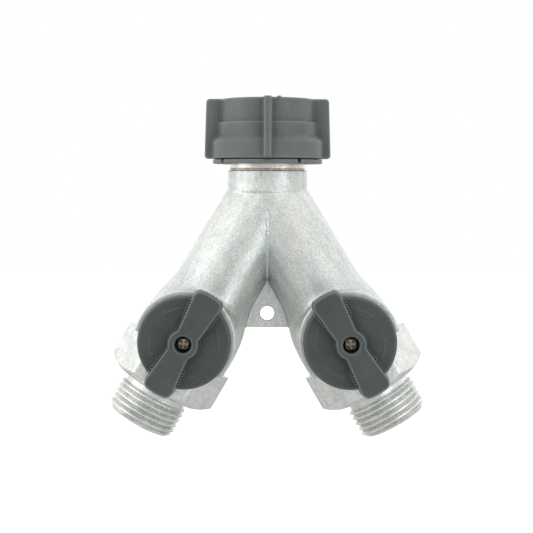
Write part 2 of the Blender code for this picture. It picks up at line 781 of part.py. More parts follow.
def make_knob(label, side, pivot):
    """Quarter-turn knob: a hollow disc with a bow-tie lever, and two ribs that stop it at each end."""
    valve = valve_frame(side)
    skirt_inner = KNOB_R - KNOB_SKIRT
    outline = [
        (0.0, KNOB_FACE),
        *arc((KNOB_R - KNOB_EDGE, KNOB_FACE - KNOB_EDGE), KNOB_EDGE, 90, 0, 3),
        (KNOB_R, KNOB_BOTTOM),
        (skirt_inner, KNOB_BOTTOM),
        (skirt_inner, KNOB_CEILING),
        (HUB_R, KNOB_CEILING),
        (HUB_R, STEM_TOP + GAP),
        (0.0, STEM_TOP + GAP),
    ]
    knob = turned(f"disc_{label}", outline, LARGE_STEPS, place=valve)
    lever = plate(f"lever_{label}", lever_outline(), KNOB_FACE - LEVER_EDGE, LEVER_TOP, valve)
    edge = lever.modifiers.new("edge", "BEVEL")
    edge.width = LEVER_EDGE
    edge.segments = 1
    edge.limit_method = "ANGLE"
    edge.angle_limit = math.radians(60)
    settle(lever)
    hub = cylinder(f"hub_{label}", HUB_R, KNOB_FACE - PAST, HUB_TOP, MEDIUM_STEPS, valve)
    contact = (STOP_WIDTH / 2 + RIB_THICKNESS / 2 + GAP) / STOP_INNER_R
    half = RIB_THICKNESS / 2
    ribs = []
    for number, angle in enumerate((-math.asin(contact), QUARTER_TURN + math.asin(contact))):
        low = (HUB_R - PAST, -half, RIB_BOTTOM)
        high = (skirt_inner + EDGE, half, KNOB_CEILING + EDGE)
        ribs.append(block(f"rib_{label}_{number}", low, high, valve @ spin(angle)))
    socket_half = SQUARE_SIDE / 2 + GAP
    socket = block(
        f"socket_{label}",
        (-socket_half, -socket_half, STEM_TOP - PAST),
        (socket_half, socket_half, SQUARE_TOP + GAP),
        valve,
    )
    screw_hole = cylinder(
        f"screw_hole_{label}", SCREW_R + GAP, SQUARE_TOP, COUNTERBORE_FLOOR + GAP, SMALL_STEPS, valve
    )
    counterbore = cylinder(
        f"counterbore_{label}", COUNTERBORE_R, COUNTERBORE_FLOOR, LEVER_TOP + PAST, SMALL_STEPS, valve
    )
    combine(knob, "UNION", [lever, hub, *ribs])
    combine(knob, "DIFFERENCE", [socket, screw_hole, counterbore])
    return become_part(knob, f"knob_{label}", "knob_plastic", pivot)


def make_screw(label, side, pivot):
    """Pan-head screw with a cross recess that holds the knob on the stem."""
    valve = valve_frame(side)
    head_bottom = COUNTERBORE_FLOOR + GAP
    outline = [
        (0.0, SCREW_HEAD_TOP),
        (SCREW_HEAD_R - 2 * EDGE, SCREW_HEAD_TOP - EDGE / 4),
        (SCREW_HEAD_R - EDGE / 2, SCREW_HEAD_TOP - EDGE),
        (SCREW_HEAD_R, SCREW_HEAD_TOP - 2 * EDGE),
        (SCREW_HEAD_R, head_bottom),
        (SCREW_R, head_bottom),
        (SCREW_R, SCREW_TIP + PAST),
        (0.0, SCREW_TIP),
    ]
    screw = turned(f"screw_turned_{label}", outline, SMALL_STEPS, place=valve)
    long, short = CROSS_LENGTH / 2, CROSS_WIDTH / 2
    floor, top = SCREW_HEAD_TOP - CROSS_DEPTH, SCREW_HEAD_TOP + PAST
    cuts = [
        block(f"cross_a_{label}", (-long, -short, floor), (long, short, top), valve),
        block(f"cross_b_{label}", (-short, -long, floor), (short, long, top), valve),
    ]
    combine(screw, "DIFFERENCE", cuts)
    return become_part(screw, f"knob_screw_{label}", "screw_metal", pivot)


def make_valve(label, side):
    """Everything in and on one arm: seats, outlet fitting and the pieces that turn with the knob."""
    pivot = new_pivot(f"valve_{label}_pivot", valve_frame(side))
    make_outlet_fitting(label, side)
    ring_height = (SPIGOT_END + CAP_FLOOR) / 2
    make_o_ring(
        f"outlet_o_ring_{label}", OUTLET_RING_R, OUTLET_RING_SECTION_R, ring_height, arm_frame(side)
    )
    make_seat(f"seat_upstream_{label}", side, -1)
    make_seat(f"seat_downstream_{label}", side, 1)
    make_ball(label, side, pivot)
    make_stem(label, side, pivot)
    make_thrust_washer(label, side, pivot)
    ring_r = GROOVE_FLOOR_R + O_RING_SECTION_R + O_RING_CLEARANCE
    for place, height in GROOVE_CENTRES.items():
        name = f"stem_o_ring_{place}_{label}"
        make_o_ring(name, ring_r, O_RING_SECTION_R, height, valve_frame(side), pivot)
    make_knob(label, side, pivot)
    make_screw(label, side, pivot)


clear_scene()
parts = new_collection(PART)
cutters = new_collection(PART + "_cutters")
swivel_pivot = new_pivot("swivel_pivot", Matrix.Identity(4))
make_nut(swivel_pivot)
make_retainer(swivel_pivot)
make_washer(swivel_pivot)
make_body()
for side_label, side_sign in SIDES.items():
    make_valve(side_label, side_sign)
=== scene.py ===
"""Looks of the hose splitter: fine cast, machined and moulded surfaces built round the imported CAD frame.

Each piece that replaces a CAD node is drawn as a distance field (millimetres, negative inside), which gives
castings and mouldings their true rounded edges and fillets, and is then turned into a mesh of small quads.
Only the male threads are laid row by row along their helix, so that their crests stay crisp.
"""

import json
import math

import bmesh
import bpy
import numpy as np
import openvdb
from mathutils import Matrix, Vector


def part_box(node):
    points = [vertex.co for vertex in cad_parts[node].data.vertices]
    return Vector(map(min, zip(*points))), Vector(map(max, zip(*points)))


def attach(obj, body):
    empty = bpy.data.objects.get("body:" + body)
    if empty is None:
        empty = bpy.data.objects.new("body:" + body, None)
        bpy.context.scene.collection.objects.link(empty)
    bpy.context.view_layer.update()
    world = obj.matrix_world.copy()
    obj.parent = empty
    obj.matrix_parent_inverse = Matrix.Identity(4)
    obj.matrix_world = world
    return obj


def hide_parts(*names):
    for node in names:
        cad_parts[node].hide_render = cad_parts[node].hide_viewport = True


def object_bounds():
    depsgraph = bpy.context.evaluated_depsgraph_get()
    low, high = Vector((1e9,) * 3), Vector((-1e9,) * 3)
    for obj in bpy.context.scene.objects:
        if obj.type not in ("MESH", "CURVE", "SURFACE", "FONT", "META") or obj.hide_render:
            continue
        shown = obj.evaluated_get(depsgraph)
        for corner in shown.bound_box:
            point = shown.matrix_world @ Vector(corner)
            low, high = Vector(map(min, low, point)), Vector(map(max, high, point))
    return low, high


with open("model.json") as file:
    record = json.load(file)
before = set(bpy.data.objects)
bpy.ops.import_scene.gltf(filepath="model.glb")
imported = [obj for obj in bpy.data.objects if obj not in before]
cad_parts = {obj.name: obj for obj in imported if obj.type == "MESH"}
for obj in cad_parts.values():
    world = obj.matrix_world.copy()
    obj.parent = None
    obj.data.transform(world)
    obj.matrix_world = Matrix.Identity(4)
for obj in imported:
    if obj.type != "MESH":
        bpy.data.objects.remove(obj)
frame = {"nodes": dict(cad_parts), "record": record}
cad_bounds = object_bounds()

MM = 0.001
SIDES = {"left": -1, "right": 1}

# ---------------------------------------------------------------- places taken from the frame, in millimetres


def mount(name):
    """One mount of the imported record."""
    return next(entry for entry in frame["record"]["mounts"] if entry["name"] == name)


def joint(name):
    """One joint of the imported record."""
    return next(entry for entry in frame["record"]["behaviour"]["joints"] if entry["name"] == name)


def box_mm(node):
    """A CAD node's lowest and highest corners, in millimetres."""
    low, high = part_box(node)
    return Vector(low) / MM, Vector(high) / MM


VALVE = Vector(joint("valve_right_turn")["pos_m"]) / MM
ARM = Vector(mount("outlet_right_face")["axis"])
OUTLET = Vector(mount("outlet_right_face")["pos_m"]) / MM
JUNCTION_Z = VALVE.z - VALVE.x * ARM.z / ARM.x
ARM_ANGLE = math.atan2(ARM.x, -ARM.z)
# Distances along an arm, to the ball's centre and to the outlet's end
VALVE_S, OUTLET_S = VALVE.x / ARM.x, OUTLET.x / ARM.x
NUT_LOW, NUT_HIGH = box_mm("swivel_nut")
RING_LOW, RING_HIGH = box_mm("nut_retainer_ring")
WASHER_LOW, WASHER_HIGH = box_mm("hose_washer")
BODY_LOW, BODY_HIGH = box_mm("body")
KNOB_LOW, KNOB_HIGH = box_mm("knob_right")
LEVER_TOP = -KNOB_LOW.y
KNOB_FOOT = -KNOB_HIGH.y
FLANGE_TOP = BODY_HIGH.z

# ---------------------------------------------------------------- dimensions, in millimetres

# GAP is a clearance, MARGIN the room round a shape in its grid, OVERLAP how far a joined shape runs into its
# neighbour, and PAST how far a cutter runs past the surface that it opens
GAP, MARGIN, OVERLAP, PAST = 0.3, 1.0, 1.0, 5.0
MERGE_MM = 0.0005
PITCH = 25.4 / 11.5
THREAD_FLANK = math.radians(30)

# Heights of the nut, ring and neck are the frame's own
NUT_RIM = 9.15
NUT_TOP_R, NUT_MIDDLE_R, NUT_LOWER_R = 17.8, 18.9, 21.3
NUT_STEP_TOP, NUT_STEP_BOTTOM = 0.3, -4.5
NUT_CAVITY_R, NUT_CAVITY_TOP = 17.6, -3.0
LUG_THICKNESS, LUG_TOP, LUG_TOP_R = 2.7, 9.3, 23.5
LUG_DRAFT, LUG_ROOT = 0.04, 3.0
GATE_X, GATE_INSET, GATE_R, GATE_HEIGHT = 4.3, 0.9, 0.7, 0.45
FEMALE_CREST_R, FEMALE_ROOT_R, FEMALE_CREST_HALF = 12.35, 13.6, PITCH / 16
# FEMALE_EASE keeps the threaded field about as steep as a distance
FEMALE_START, FEMALE_RUNOUT, FEMALE_EASE = 0.6, 1.2, 0.55

RIM_R = 21.0
RING_BORE_R = 14.8
SLOT_WIDTH, SLOT_DEPTH, SLOT_ANGLE = 1.8, 2.2, math.radians(35)
WASHER_BORE_R = 8.0

FLANGE_R, FLANGE_BOTTOM = 16.9, -6.5
NECK_R, NECK_BOTTOM, GROOVE_DEPTH = 14.5, -17.55, 0.5
COLLAR_R, COLLAR_BOTTOM, COLLAR_TOP = 15.2, -26.5, -18.0
INLET_BORE_R = 9.5

# Places on the arms and fittings are distances along an arm from where the two arms meet, apart from
# FLASH_TOP, WEB_BOTTOM and HANG_HOLE_Z, which are heights in the frame
ARM_START_R, ARM_R, ARM_BORE_R = 14.75, 15.8, 11.0
FLASH_HALF, FLASH_HEIGHT, FLASH_TOP = 0.22, 0.42, -34.0
FLARE_START, FLARE_END, FLARE_R, FLARE_SHIFT = 38.0, 56.0, 19.1, 0.4
ARM_PLACES, ARM_RADII = (0.0, 7.0, FLARE_START), (ARM_START_R, 15.1, ARM_R)
BODY_END = 67.2
SPIGOT_R, SPIGOT_END = 16.4, 76.2
WEB_THICKNESS, WEB_START, WEB_BOTTOM = 3.0, 10.0, -78.4
HANG_HOLE_R, HANG_HOLE_Z = 2.75, -73.0

# Heights on the valves and knobs are outwards from the ball's centre, and seats lie beside it along the arm
BOSS_R, BOSS_TOP = 19.2, 20.0
CHAMBER_R = 13.6
BALL_R, BALL_BORE_R = 13.0, 8.5
SEAT_NEAR, SEAT_FAR, SEAT_BORE_R, SEAT_GAP = 7.0, 11.3, 8.7, 0.25
STEM_BORE_R, POCKET_R, POCKET_TOP = 4.2, 5.8, 15.8
TANG_HALF, SLOT_FLOOR = 1.6, 10.3
STOP_TOP, STOP_IN, STOP_OUT, STOP_HALF = 22.2, 9.0, 13.5, 1.6

HEX_TURN = math.radians(30)
HEX_START, HEX_END = BODY_END + GAP, 84.2
HEX_CORNER_R, HEX_END_R, HEX_END_SLOPE = 22.3, 17.2, 1.75
HEX_FLAT_R = HEX_CORNER_R * math.cos(HEX_TURN)
CAP_BORE_R, CAP_FLOOR = 16.7, 78.8
NOSE_R = 13.3
OUTLET_BORE_R, OUTLET_NECK_R, OUTLET_LIP = 9.0, 12.4, 0.5
SLEEVE_START, SLEEVE_LAP = HEX_END + 0.6, 0.03
MALE_START, MALE_RUNOUT = 86.6, 1.0
MALE_CREST_R, MALE_ROOT_R, MALE_CREST_HALF = 13.8, 12.4, PITCH / 8
LEAD_DEPTH, LEAD_SLOPE = 0.5, 1.1

KNOB_R, KNOB_FACE, KNOB_CEILING, KNOB_SKIRT = 17.4, 25.0, 23.2, 1.55
HUB_R, RIB_HALF = 5.5, 0.9
LEVER_END_R, LEVER_WAIST, LEVER_END, LEVER_CORNER_R, LEVER_DRAFT = 20.6, 4.2, 5.8, 2.4, 0.45
# The lever widens by LEVER_SPREAD for each millimetre out, up to LEVER_FULL short of its end
LEVER_FULL = 1.0
LEVER_SPREAD = (LEVER_END - LEVER_WAIST) / (LEVER_END_R - LEVER_WAIST - LEVER_FULL)
TOOTH_PITCH, TOOTH_HEIGHT, TOOTH_REACH, TOOTH_DEPTH, TOOTH_TOP = 1.0, 0.5, 4.3, 2.0, 0.6
PIT_START, PIT_PITCH, PIT_COUNT, PIT_R, PIT_DEPTH, PIT_OUTSET, PIT_TOP = 9.6, 1.05, 6, 0.36, 0.9, 0.3, 1.5
MARK_R, MARK_HEIGHT, MARK_WIDTH, MARK_HEAD_HALF, MARK_NECK = 12.8, 0.14, 0.45, 1.15, 0.8
MARK_SPAN_DEG, MARK_STARTS_DEG = 38.0, (18.0, 120.0, -162.0, -60.0)
COUNTERBORE_R, COUNTERBORE_FLOOR, COUNTERBORE_CHAMFER = 3.06, 26.1, 0.45
SOCKET_HALF, SOCKET_TOP = 2.9, 24.9
SCREW_HEAD_R, SCREW_HEAD_TOP, SCREW_R, SCREW_TIP, SCREW_DOME_R = 2.6, 28.3, 1.45, 19.0, 6.0
RECESS_NARROW, RECESS_WIDE, RECESS_TAPER, RECESS_DEPTH = 0.55, 1.9, 0.35, 1.3
SCREW_TURN = math.radians(20)

# ---------------------------------------------------------------- distance fields


class Grid:
    """Coordinates of a regular grid of points, kept as three arrays that broadcast together."""

    def __init__(self, low, high, step):
        self.low = np.array(low, np.float32)
        self.step = step
        axes = [np.arange(a, b + step, step, dtype=np.float32) for a, b in zip(low, high)]
        self.x = axes[0][:, None, None]
        self.y = axes[1][None, :, None]
        self.z = axes[2][None, None, :]


def soft_union(a, b, blend):
    """Two shapes joined with a fillet about blend wide."""
    t = np.clip(0.5 + 0.5 * (b - a) / blend, 0.0, 1.0)
    return b + (a - b) * t - blend * t * (1 - t)


def soft_cut(a, b, blend):
    """Shape a without shape b, the edge eased about blend wide."""
    return -soft_union(-a, b, blend)


def rounded_meet(a, b, radius):
    """What two shapes share, the edge between their surfaces rounded."""
    a, b = a + radius, b + radius
    outside = np.hypot(np.maximum(a, 0), np.maximum(b, 0))
    return np.minimum(np.maximum(a, b), 0) + outside - radius


def between(w, low, high):
    """A slab."""
    return np.maximum(low - w, w - high)


def pin(radial, w, radius, low, high, edge=0.0):
    """A cylinder with rounded ends, given the distance from its axis and the place along it."""
    return rounded_meet(radial - radius, between(w, low, high), edge)


def brick(u, v, w, half_u, half_v, low, high, edge):
    """A box with rounded edges."""
    side = rounded_meet(np.abs(u) - half_u, np.abs(v) - half_v, edge)
    return rounded_meet(side, between(w, low, high), edge)


def cone(radial, w, point, slope):
    """The inside of an endless cone through point (radius, place), narrowing by slope for each millimetre."""
    size = math.hypot(1.0, slope)
    return (radial - point[0] + slope * (w - point[1])) / size


def smooth_step(t):
    """Runs from 0 to 1 and is level at both ends."""
    t = np.clip(t, 0.0, 1.0)
    return t * t * (3 - 2 * t)


def thread_height(radial_angle, w, depth, half_crest):
    """How far a right-hand hose thread stands up from its root at each angle and place."""
    turn = w / PITCH - radial_angle / (2 * math.pi)
    from_crest = np.abs(turn - np.round(turn)) * PITCH
    rise = 1 / math.tan(THREAD_FLANK)
    return np.clip(depth - (from_crest - half_crest) * rise, 0.0, depth)


# ---------------------------------------------------------------- meshes


BAND_CELLS = 3


def skin(field, grid, other_half=None):
    """Points in millimetres and quads of a field's surface.

    Where the grid starts at x = 0, other_half is the field of the side below it, as seen in a mirror.
    """
    low = grid.low.copy()
    if other_half is not None:
        field = np.concatenate([other_half[:0:-1], field])
        low[0] = -(field.shape[0] // 2) * grid.step
    limit = BAND_CELLS * grid.step
    field = np.ascontiguousarray(np.clip(field, -limit, limit), np.float32)
    volume = openvdb.FloatGrid(limit)
    volume.copyFromArray(field)
    points, quads = volume.convertToQuads(isovalue=0.0)
    return points * grid.step + low, quads


def mesh_of(name, points, quads):
    """A smooth-shaded mesh in metres."""
    mesh = bpy.data.meshes.new(name)
    mesh.vertices.add(len(points))
    mesh.vertices.foreach_set("co", (points * MM).astype(np.float32).ravel())
    mesh.loops.add(4 * len(quads))
    mesh.loops.foreach_set("vertex_index", quads.astype(np.int32).ravel())
    mesh.polygons.add(len(quads))
    mesh.polygons.foreach_set("loop_start", np.arange(0, 4 * len(quads), 4, dtype=np.int32))
    mesh.update(calc_edges=True)
    mesh.validate()
    mesh.shade_smooth()
    return mesh


def lathe(radii, heights):
    """Points and quads of a closed shell from rows of radii and heights, one column for each angle.

    The last column closes on the first even when its rows have moved along a helix, once doubles are merged.
    """
    rows, columns = radii.shape
    angles = np.linspace(0, 2 * math.pi, columns)
    points = np.stack([radii * np.cos(angles), radii * np.sin(angles), heights], axis=-1).reshape(-1, 3)
    row, column = np.meshgrid(np.arange(rows), np.arange(columns - 1), indexing="ij")
    here = (row * columns + column).ravel()
    above = ((row + 1) % rows * columns + column).ravel()
    return points, np.stack([here, here + 1, above + 1, above], axis=1)


def merge_doubles(mesh):
    """Merges points that lie on each other and drops the faces that this leaves empty."""
    shape = bmesh.new()
    shape.from_mesh(mesh)
    bmesh.ops.remove_doubles(shape, verts=shape.verts, dist=MERGE_MM * MM)
    shape.to_mesh(mesh)
    shape.free()


def show(name, mesh, body, node, materials, place=None):
    """Adds a piece that stands for a CAD node and moves with a body, its points in the frame's own axes."""
    if place is not None:
        mesh = mesh.copy()
        mesh.transform(place)
    mesh.materials.clear()
    for material in materials:
        mesh.materials.append(material)
    piece = bpy.data.objects.new(name, mesh)
    bpy.context.scene.collection.objects.link(piece)
    bpy.context.view_layer.update()
    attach(piece, body)
    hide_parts(node)
    return piece


def arm_place(side):
    """Origin where the arms meet, +Z down the arm, -Y to the front."""
    turn = Matrix.Rotation(side * (math.pi - ARM_ANGLE), 4, "Y")
    return Matrix.Translation((0, 0, JUNCTION_Z * MM)) @ turn


def valve_place(side):
    """Origin at the ball's centre, +Z out through the knob, +Y down the arm."""
    along = Matrix.Translation((0, 0, VALVE_S * MM))
    return arm_place(side) @ along @ Matrix.Rotation(math.radians(90), 4, "X")


# ---------------------------------------------------------------- the casting


def arm_coordinates(grid, side):
    """Place along an arm, sideways offset and distance from its axis."""
    down = grid.z - JUNCTION_Z
    along = side * ARM.x * grid.x + ARM.z * down
    sideways = -side * ARM.z * grid.x + ARM.x * down
    return along, sideways, np.hypot(sideways, grid.y)


def arm_solid(along, sideways, y):
    """One arm: round start, tube, flare and the end that meets the outlet fitting."""
    radius = np.interp(along, ARM_PLACES, ARM_RADII)
    flare = smooth_step((along - FLARE_START) / (FLARE_END - FLARE_START))
    radius = radius + (FLARE_R - ARM_R) * flare
    radial = np.hypot(sideways + FLARE_SHIFT * flare, y)
    start = np.hypot(radial, np.minimum(along, 0.0))
    return rounded_meet(start - radius, along - BODY_END, radius=0.5)


def junction_field(grid, arm):
    """An arm met by the other one and the collar, with the thin flash that the mould leaves in the crease."""
    far_along, _, far_radial = arm_coordinates(grid, -1)
    crease = np.hypot(far_radial, np.minimum(far_along, 0.0)) - ARM_START_R
    flash = rounded_meet(grid.x - FLASH_HALF, arm - FLASH_HEIGHT, radius=0.1)
    flash = np.maximum(flash, grid.z - FLASH_TOP)
    solid = np.minimum(soft_union(arm, crease, blend=0.7), flash)
    axis = np.hypot(grid.x, grid.y)
    throat = pin(axis, grid.z, ARM_START_R, JUNCTION_Z, COLLAR_TOP - OVERLAP)
    solid = soft_union(solid, throat, blend=0.7)
    collar = pin(axis, grid.z, COLLAR_R, COLLAR_BOTTOM, COLLAR_TOP, edge=0.4)
    return soft_union(solid, collar, blend=0.2)


def web_field(grid, along, sideways):
    """The thin wall between the arms, with the hole that the splitter hangs by."""
    wall = between(grid.y, -WEB_THICKNESS / 2, WEB_THICKNESS / 2)
    reach = np.maximum(sideways, WEB_START - along)
    web = rounded_meet(wall, np.maximum(WEB_BOTTOM - grid.z, reach), radius=0.4)
    hole = np.hypot(grid.x, grid.z - HANG_HOLE_Z) - HANG_HOLE_R
    return soft_cut(web, hole, blend=0.5)


def turned_field(grid, solid):
    """Adds what is turned on a lathe: the neck with its groove, the flange and the spigot in the fitting."""
    axis = np.hypot(grid.x, grid.y)
    along, _, radial = arm_coordinates(grid, 1)
    neck = pin(axis, grid.z, NECK_R, COLLAR_TOP - OVERLAP, FLANGE_TOP, edge=0.1)
    groove = pin(axis, grid.z, NECK_R + OVERLAP, COLLAR_TOP, NECK_BOTTOM)
    groove = np.maximum(groove, NECK_R - GROOVE_DEPTH - axis)
    flange = pin(axis, grid.z, FLANGE_R, FLANGE_BOTTOM, FLANGE_TOP, edge=0.3)
    solid = np.minimum(np.minimum(solid, neck), flange)
    solid = np.maximum(solid, -groove)
    spigot = pin(radial, along, SPIGOT_R, BODY_END - 2 * OVERLAP, SPIGOT_END, edge=0.5)
    return np.minimum(solid, spigot)


def waterway_field(grid, from_valve, height):
    """Everything hollow: the inlet, the arm's bore, the ball's chamber, the stem's bore and its pocket."""
    axis = np.hypot(grid.x, grid.y)
    along, _, radial = arm_coordinates(grid, 1)
    bore = pin(axis, grid.z, INLET_BORE_R, JUNCTION_Z - 2 * OVERLAP, FLANGE_TOP + PAST)
    bore = np.minimum(bore, pin(radial, along, ARM_BORE_R, 0.0, VALVE_S))
    chamber_start = VALVE_S - SEAT_FAR - GAP
    bore = np.minimum(bore, pin(radial, along, CHAMBER_R, chamber_start, SPIGOT_END + PAST))
    bore = np.minimum(bore, pin(from_valve, height, STEM_BORE_R, 0.0, BOSS_TOP + PAST))
    return np.minimum(bore, pin(from_valve, height, POCKET_R, 0.0, POCKET_TOP))


def casting_field(grid):
    """The whole Y body on a grid that starts at x = 0, the plane of symmetry."""
    along, sideways, _ = arm_coordinates(grid, 1)
    solid = junction_field(grid, arm_solid(along, sideways, grid.y))
    solid = soft_union(solid, web_field(grid, along, sideways), blend=0.7)
    height = -grid.y
    from_valve = np.hypot(grid.x - VALVE.x, grid.z - VALVE.z)
    boss = pin(from_valve, height, BOSS_R, 0.0, BOSS_TOP, edge=0.6)
    boss = rounded_meet(boss, along - BODY_END, radius=0.5)
    solid = soft_union(solid, boss, blend=2.2)
    solid = np.maximum(solid, along - BODY_END)
    return soft_cut(turned_field(grid, solid), waterway_field(grid, from_valve, height), blend=0.3)


def stop_field(grid, outward):
    """The lug that a knob's ribs stop against: outward is 1 on the arm's outer side, -1 on its inner side."""
    along, sideways, _ = arm_coordinates(grid, 1)
    middle, half = (STOP_OUT + STOP_IN) / 2, (STOP_OUT - STOP_IN) / 2
    across = sideways - outward * middle
    return brick(along - VALVE_S, across, -grid.y, STOP_HALF, half, BOSS_TOP - OVERLAP, STOP_TOP, edge=0.3)


def make_casting(materials):
    """The zinc body. The faces of the turned neck take the machined finish."""
    margin, front_margin = 1.2, 3.7
    high = (BODY_HIGH.x + margin, BODY_HIGH.y + margin, BODY_HIGH.z + margin)
    low = (0.0, BODY_LOW.y - front_margin, BODY_LOW.z - margin)
    grid = Grid(low, high, step=0.33)
    both = casting_field(grid)
    right = np.minimum(both, stop_field(grid, -1))
    left = np.minimum(both, stop_field(grid, 1))
    mesh = mesh_of("casting", *skin(right, grid, other_half=left))
    heights = np.empty(len(mesh.polygons) * 3, np.float32)
    mesh.polygons.foreach_get("center", heights)
    machined = heights[2::3] > (COLLAR_TOP - 0.1) * MM
    piece = show("casting", mesh, "casting", "body", materials)
    piece.data.polygons.foreach_set("material_index", machined.astype(np.int32))
    return piece


# ---------------------------------------------------------------- outlet fittings


def fitting_field(grid):
    """Hexagon cap with its bore and the start of its neck, in the arm's own coordinates."""
    radial = np.hypot(grid.x, grid.y)
    flats = np.abs(grid.y) - HEX_FLAT_R
    for lean in (1, -1):
        leaning = np.abs(math.cos(HEX_TURN) * grid.x + lean * 0.5 * grid.y) - HEX_FLAT_R
        flats = rounded_meet(flats, leaning, radius=1.0)
    hexagon = rounded_meet(flats, between(grid.z, HEX_START, HEX_END), radius=0.3)
    end_cone = cone(radial, grid.z, (HEX_END_R, HEX_END), HEX_END_SLOPE)
    hexagon = rounded_meet(hexagon, end_cone, radius=0.4)
    neck = pin(radial, grid.z, OUTLET_NECK_R, HEX_START + 2 * OVERLAP, SLEEVE_START + 0.5 * OVERLAP)
    solid = soft_union(hexagon, neck, blend=1.0)
    cavity = pin(radial, grid.z, CAP_BORE_R, HEX_START - PAST, CAP_FLOOR)
    nose = pin(radial, grid.z, NOSE_R, VALVE_S + SEAT_FAR + GAP, CAP_FLOOR + OVERLAP, edge=0.2)
    solid = soft_cut(solid, cavity, blend=0.3)
    solid = np.minimum(solid, nose)
    bore = pin(radial, grid.z, OUTLET_BORE_R, HEX_START, OUTLET_S + PAST)
    return soft_cut(solid, bore, blend=0.4)


def thread_sleeve():
    """The neck and the male thread, its rows laid along the helix so that every crest is crisp."""
    columns = 145
    depth, crest = MALE_CREST_R - MALE_ROOT_R, MALE_CREST_HALF
    foot = crest + depth * math.tan(THREAD_FLANK)
    stops = (-foot, -(foot + crest) / 2, -crest, 0.0, crest, (foot + crest) / 2, foot, PITCH / 2)
    first, last = math.floor(MALE_START / PITCH) - 2, math.ceil(OUTLET_S / PITCH) + 1
    rows = np.array([turn * PITCH + stop for turn in range(first, last) for stop in stops])
    angles = np.linspace(0, 2 * math.pi, columns)
    heights = np.clip(rows[:, None] + PITCH * angles[None, :] / (2 * math.pi), MALE_START, OUTLET_S)
    runout = smooth_step((heights - MALE_START) / MALE_RUNOUT)
    radii = MALE_ROOT_R + thread_height(angles[None, :], heights, depth, crest) * runout
    radii = np.minimum(radii, MALE_ROOT_R - LEAD_DEPTH + LEAD_SLOPE * (OUTLET_S - heights))
    bore, lip = OUTLET_BORE_R - SLEEVE_LAP, OUTLET_LIP
    before = [(bore, SLEEVE_START), (OUTLET_NECK_R, SLEEVE_START), (OUTLET_NECK_R, MALE_START - 0.4)]
    after = [(bore + lip, OUTLET_S), (bore + 0.3 * lip, OUTLET_S - 0.3 * lip), (bore, OUTLET_S - lip)]
    flat = np.ones(columns)
    radii = np.vstack([[r * flat for r, _ in before], radii, [r * flat for r, _ in after]])
    heights = np.vstack([[z * flat for _, z in before], heights, [z * flat for _, z in after]])
    return lathe(radii, heights)


def make_fittings(materials):
    """Both outlet fittings, which have one shape: a hexagon, and a threaded sleeve in the same mesh."""
    reach = HEX_CORNER_R + MARGIN
    low = (-reach, -HEX_FLAT_R - MARGIN, HEX_START - MARGIN)
    high = (reach, HEX_FLAT_R + MARGIN, SLEEVE_START + 1.5 * MARGIN)
    grid = Grid(low, high, step=0.25)
    points, quads = skin(fitting_field(grid), grid)
    sleeve_points, sleeve_quads = thread_sleeve()
    quads = np.vstack([quads, sleeve_quads + len(points)])
    mesh = mesh_of("outlet_fitting", np.vstack([points, sleeve_points]), quads)
    merge_doubles(mesh)
    mesh.set_sharp_from_angle(angle=math.radians(50))
    for label, side in SIDES.items():
        node = f"outlet_fitting_{label}"
        show(node + "_fine", mesh, "casting", node, materials, arm_place(side))


# ---------------------------------------------------------------- swivel nut, retainer ring and washer


def lug_field(grid):
    """The nut's four grip lugs, a little wider and further out towards the bottom."""
    across = np.maximum(np.abs(grid.x), np.abs(grid.y))
    beside = np.minimum(np.abs(grid.x), np.abs(grid.y))
    bottom, bottom_r = NUT_LOW.z, NUT_HIGH.x
    taper = (bottom_r - LUG_TOP_R) / (LUG_TOP - bottom)
    outer_r = bottom_r - taper * (grid.z - bottom)
    end = rounded_meet(across - outer_r, between(grid.z, bottom, LUG_TOP), radius=1.3)
    half = LUG_THICKNESS / 2 + LUG_DRAFT * (bottom_r - across)
    lug = rounded_meet(end, beside - half, radius=0.35)
    return np.maximum(lug, NUT_TOP_R - LUG_ROOT - across)


def socket_field(grid, radial):
    """The hollow that takes the tap: a female hose thread with a chamfered mouth."""
    angle = np.arctan2(grid.y, grid.x)
    depth = FEMALE_ROOT_R - FEMALE_CREST_R
    runout = smooth_step((grid.z - FEMALE_START) / FEMALE_RUNOUT)
    ridge = thread_height(angle, grid.z - NUT_RIM, depth, FEMALE_CREST_HALF) * runout
    hollow = (radial - FEMALE_ROOT_R + ridge) * FEMALE_EASE
    mouth = cone(radial, -grid.z, (FEMALE_ROOT_R + 1.0, -NUT_RIM), slope=1.0)
    return np.maximum(np.minimum(hollow, mouth), NUT_CAVITY_TOP - OVERLAP - grid.z)


def nut_field(grid):
    """Stepped grey nut with four lugs, the small stub of its moulding gate and a female thread."""
    radial = np.hypot(grid.x, grid.y)
    bottom = NUT_LOW.z
    upper = pin(radial, grid.z, NUT_TOP_R, bottom, NUT_RIM, edge=0.6)
    middle = pin(radial, grid.z, NUT_MIDDLE_R, bottom, NUT_STEP_TOP, edge=0.6)
    lower = pin(radial, grid.z, NUT_LOWER_R, bottom, NUT_STEP_BOTTOM, edge=0.5)
    shoulder = cone(radial, grid.z, (NUT_MIDDLE_R, NUT_STEP_BOTTOM), slope=1.0)
    lower = rounded_meet(lower, shoulder, radius=0.6)
    solid = soft_union(soft_union(upper, middle, blend=0.25), lower, blend=0.35)
    solid = soft_union(solid, lug_field(grid), blend=0.5)
    from_gate = np.hypot(grid.x - GATE_X, grid.y + NUT_TOP_R - GATE_INSET)
    gate = pin(from_gate, grid.z, GATE_R, NUT_RIM - OVERLAP, NUT_RIM + GATE_HEIGHT, edge=0.2)
    solid = soft_union(solid, gate, blend=0.5)
    cavity = pin(radial, grid.z, NUT_CAVITY_R, bottom - PAST, NUT_CAVITY_TOP)
    solid = soft_cut(solid, cavity, blend=0.3)
    return soft_cut(solid, socket_field(grid, radial), blend=0.3)


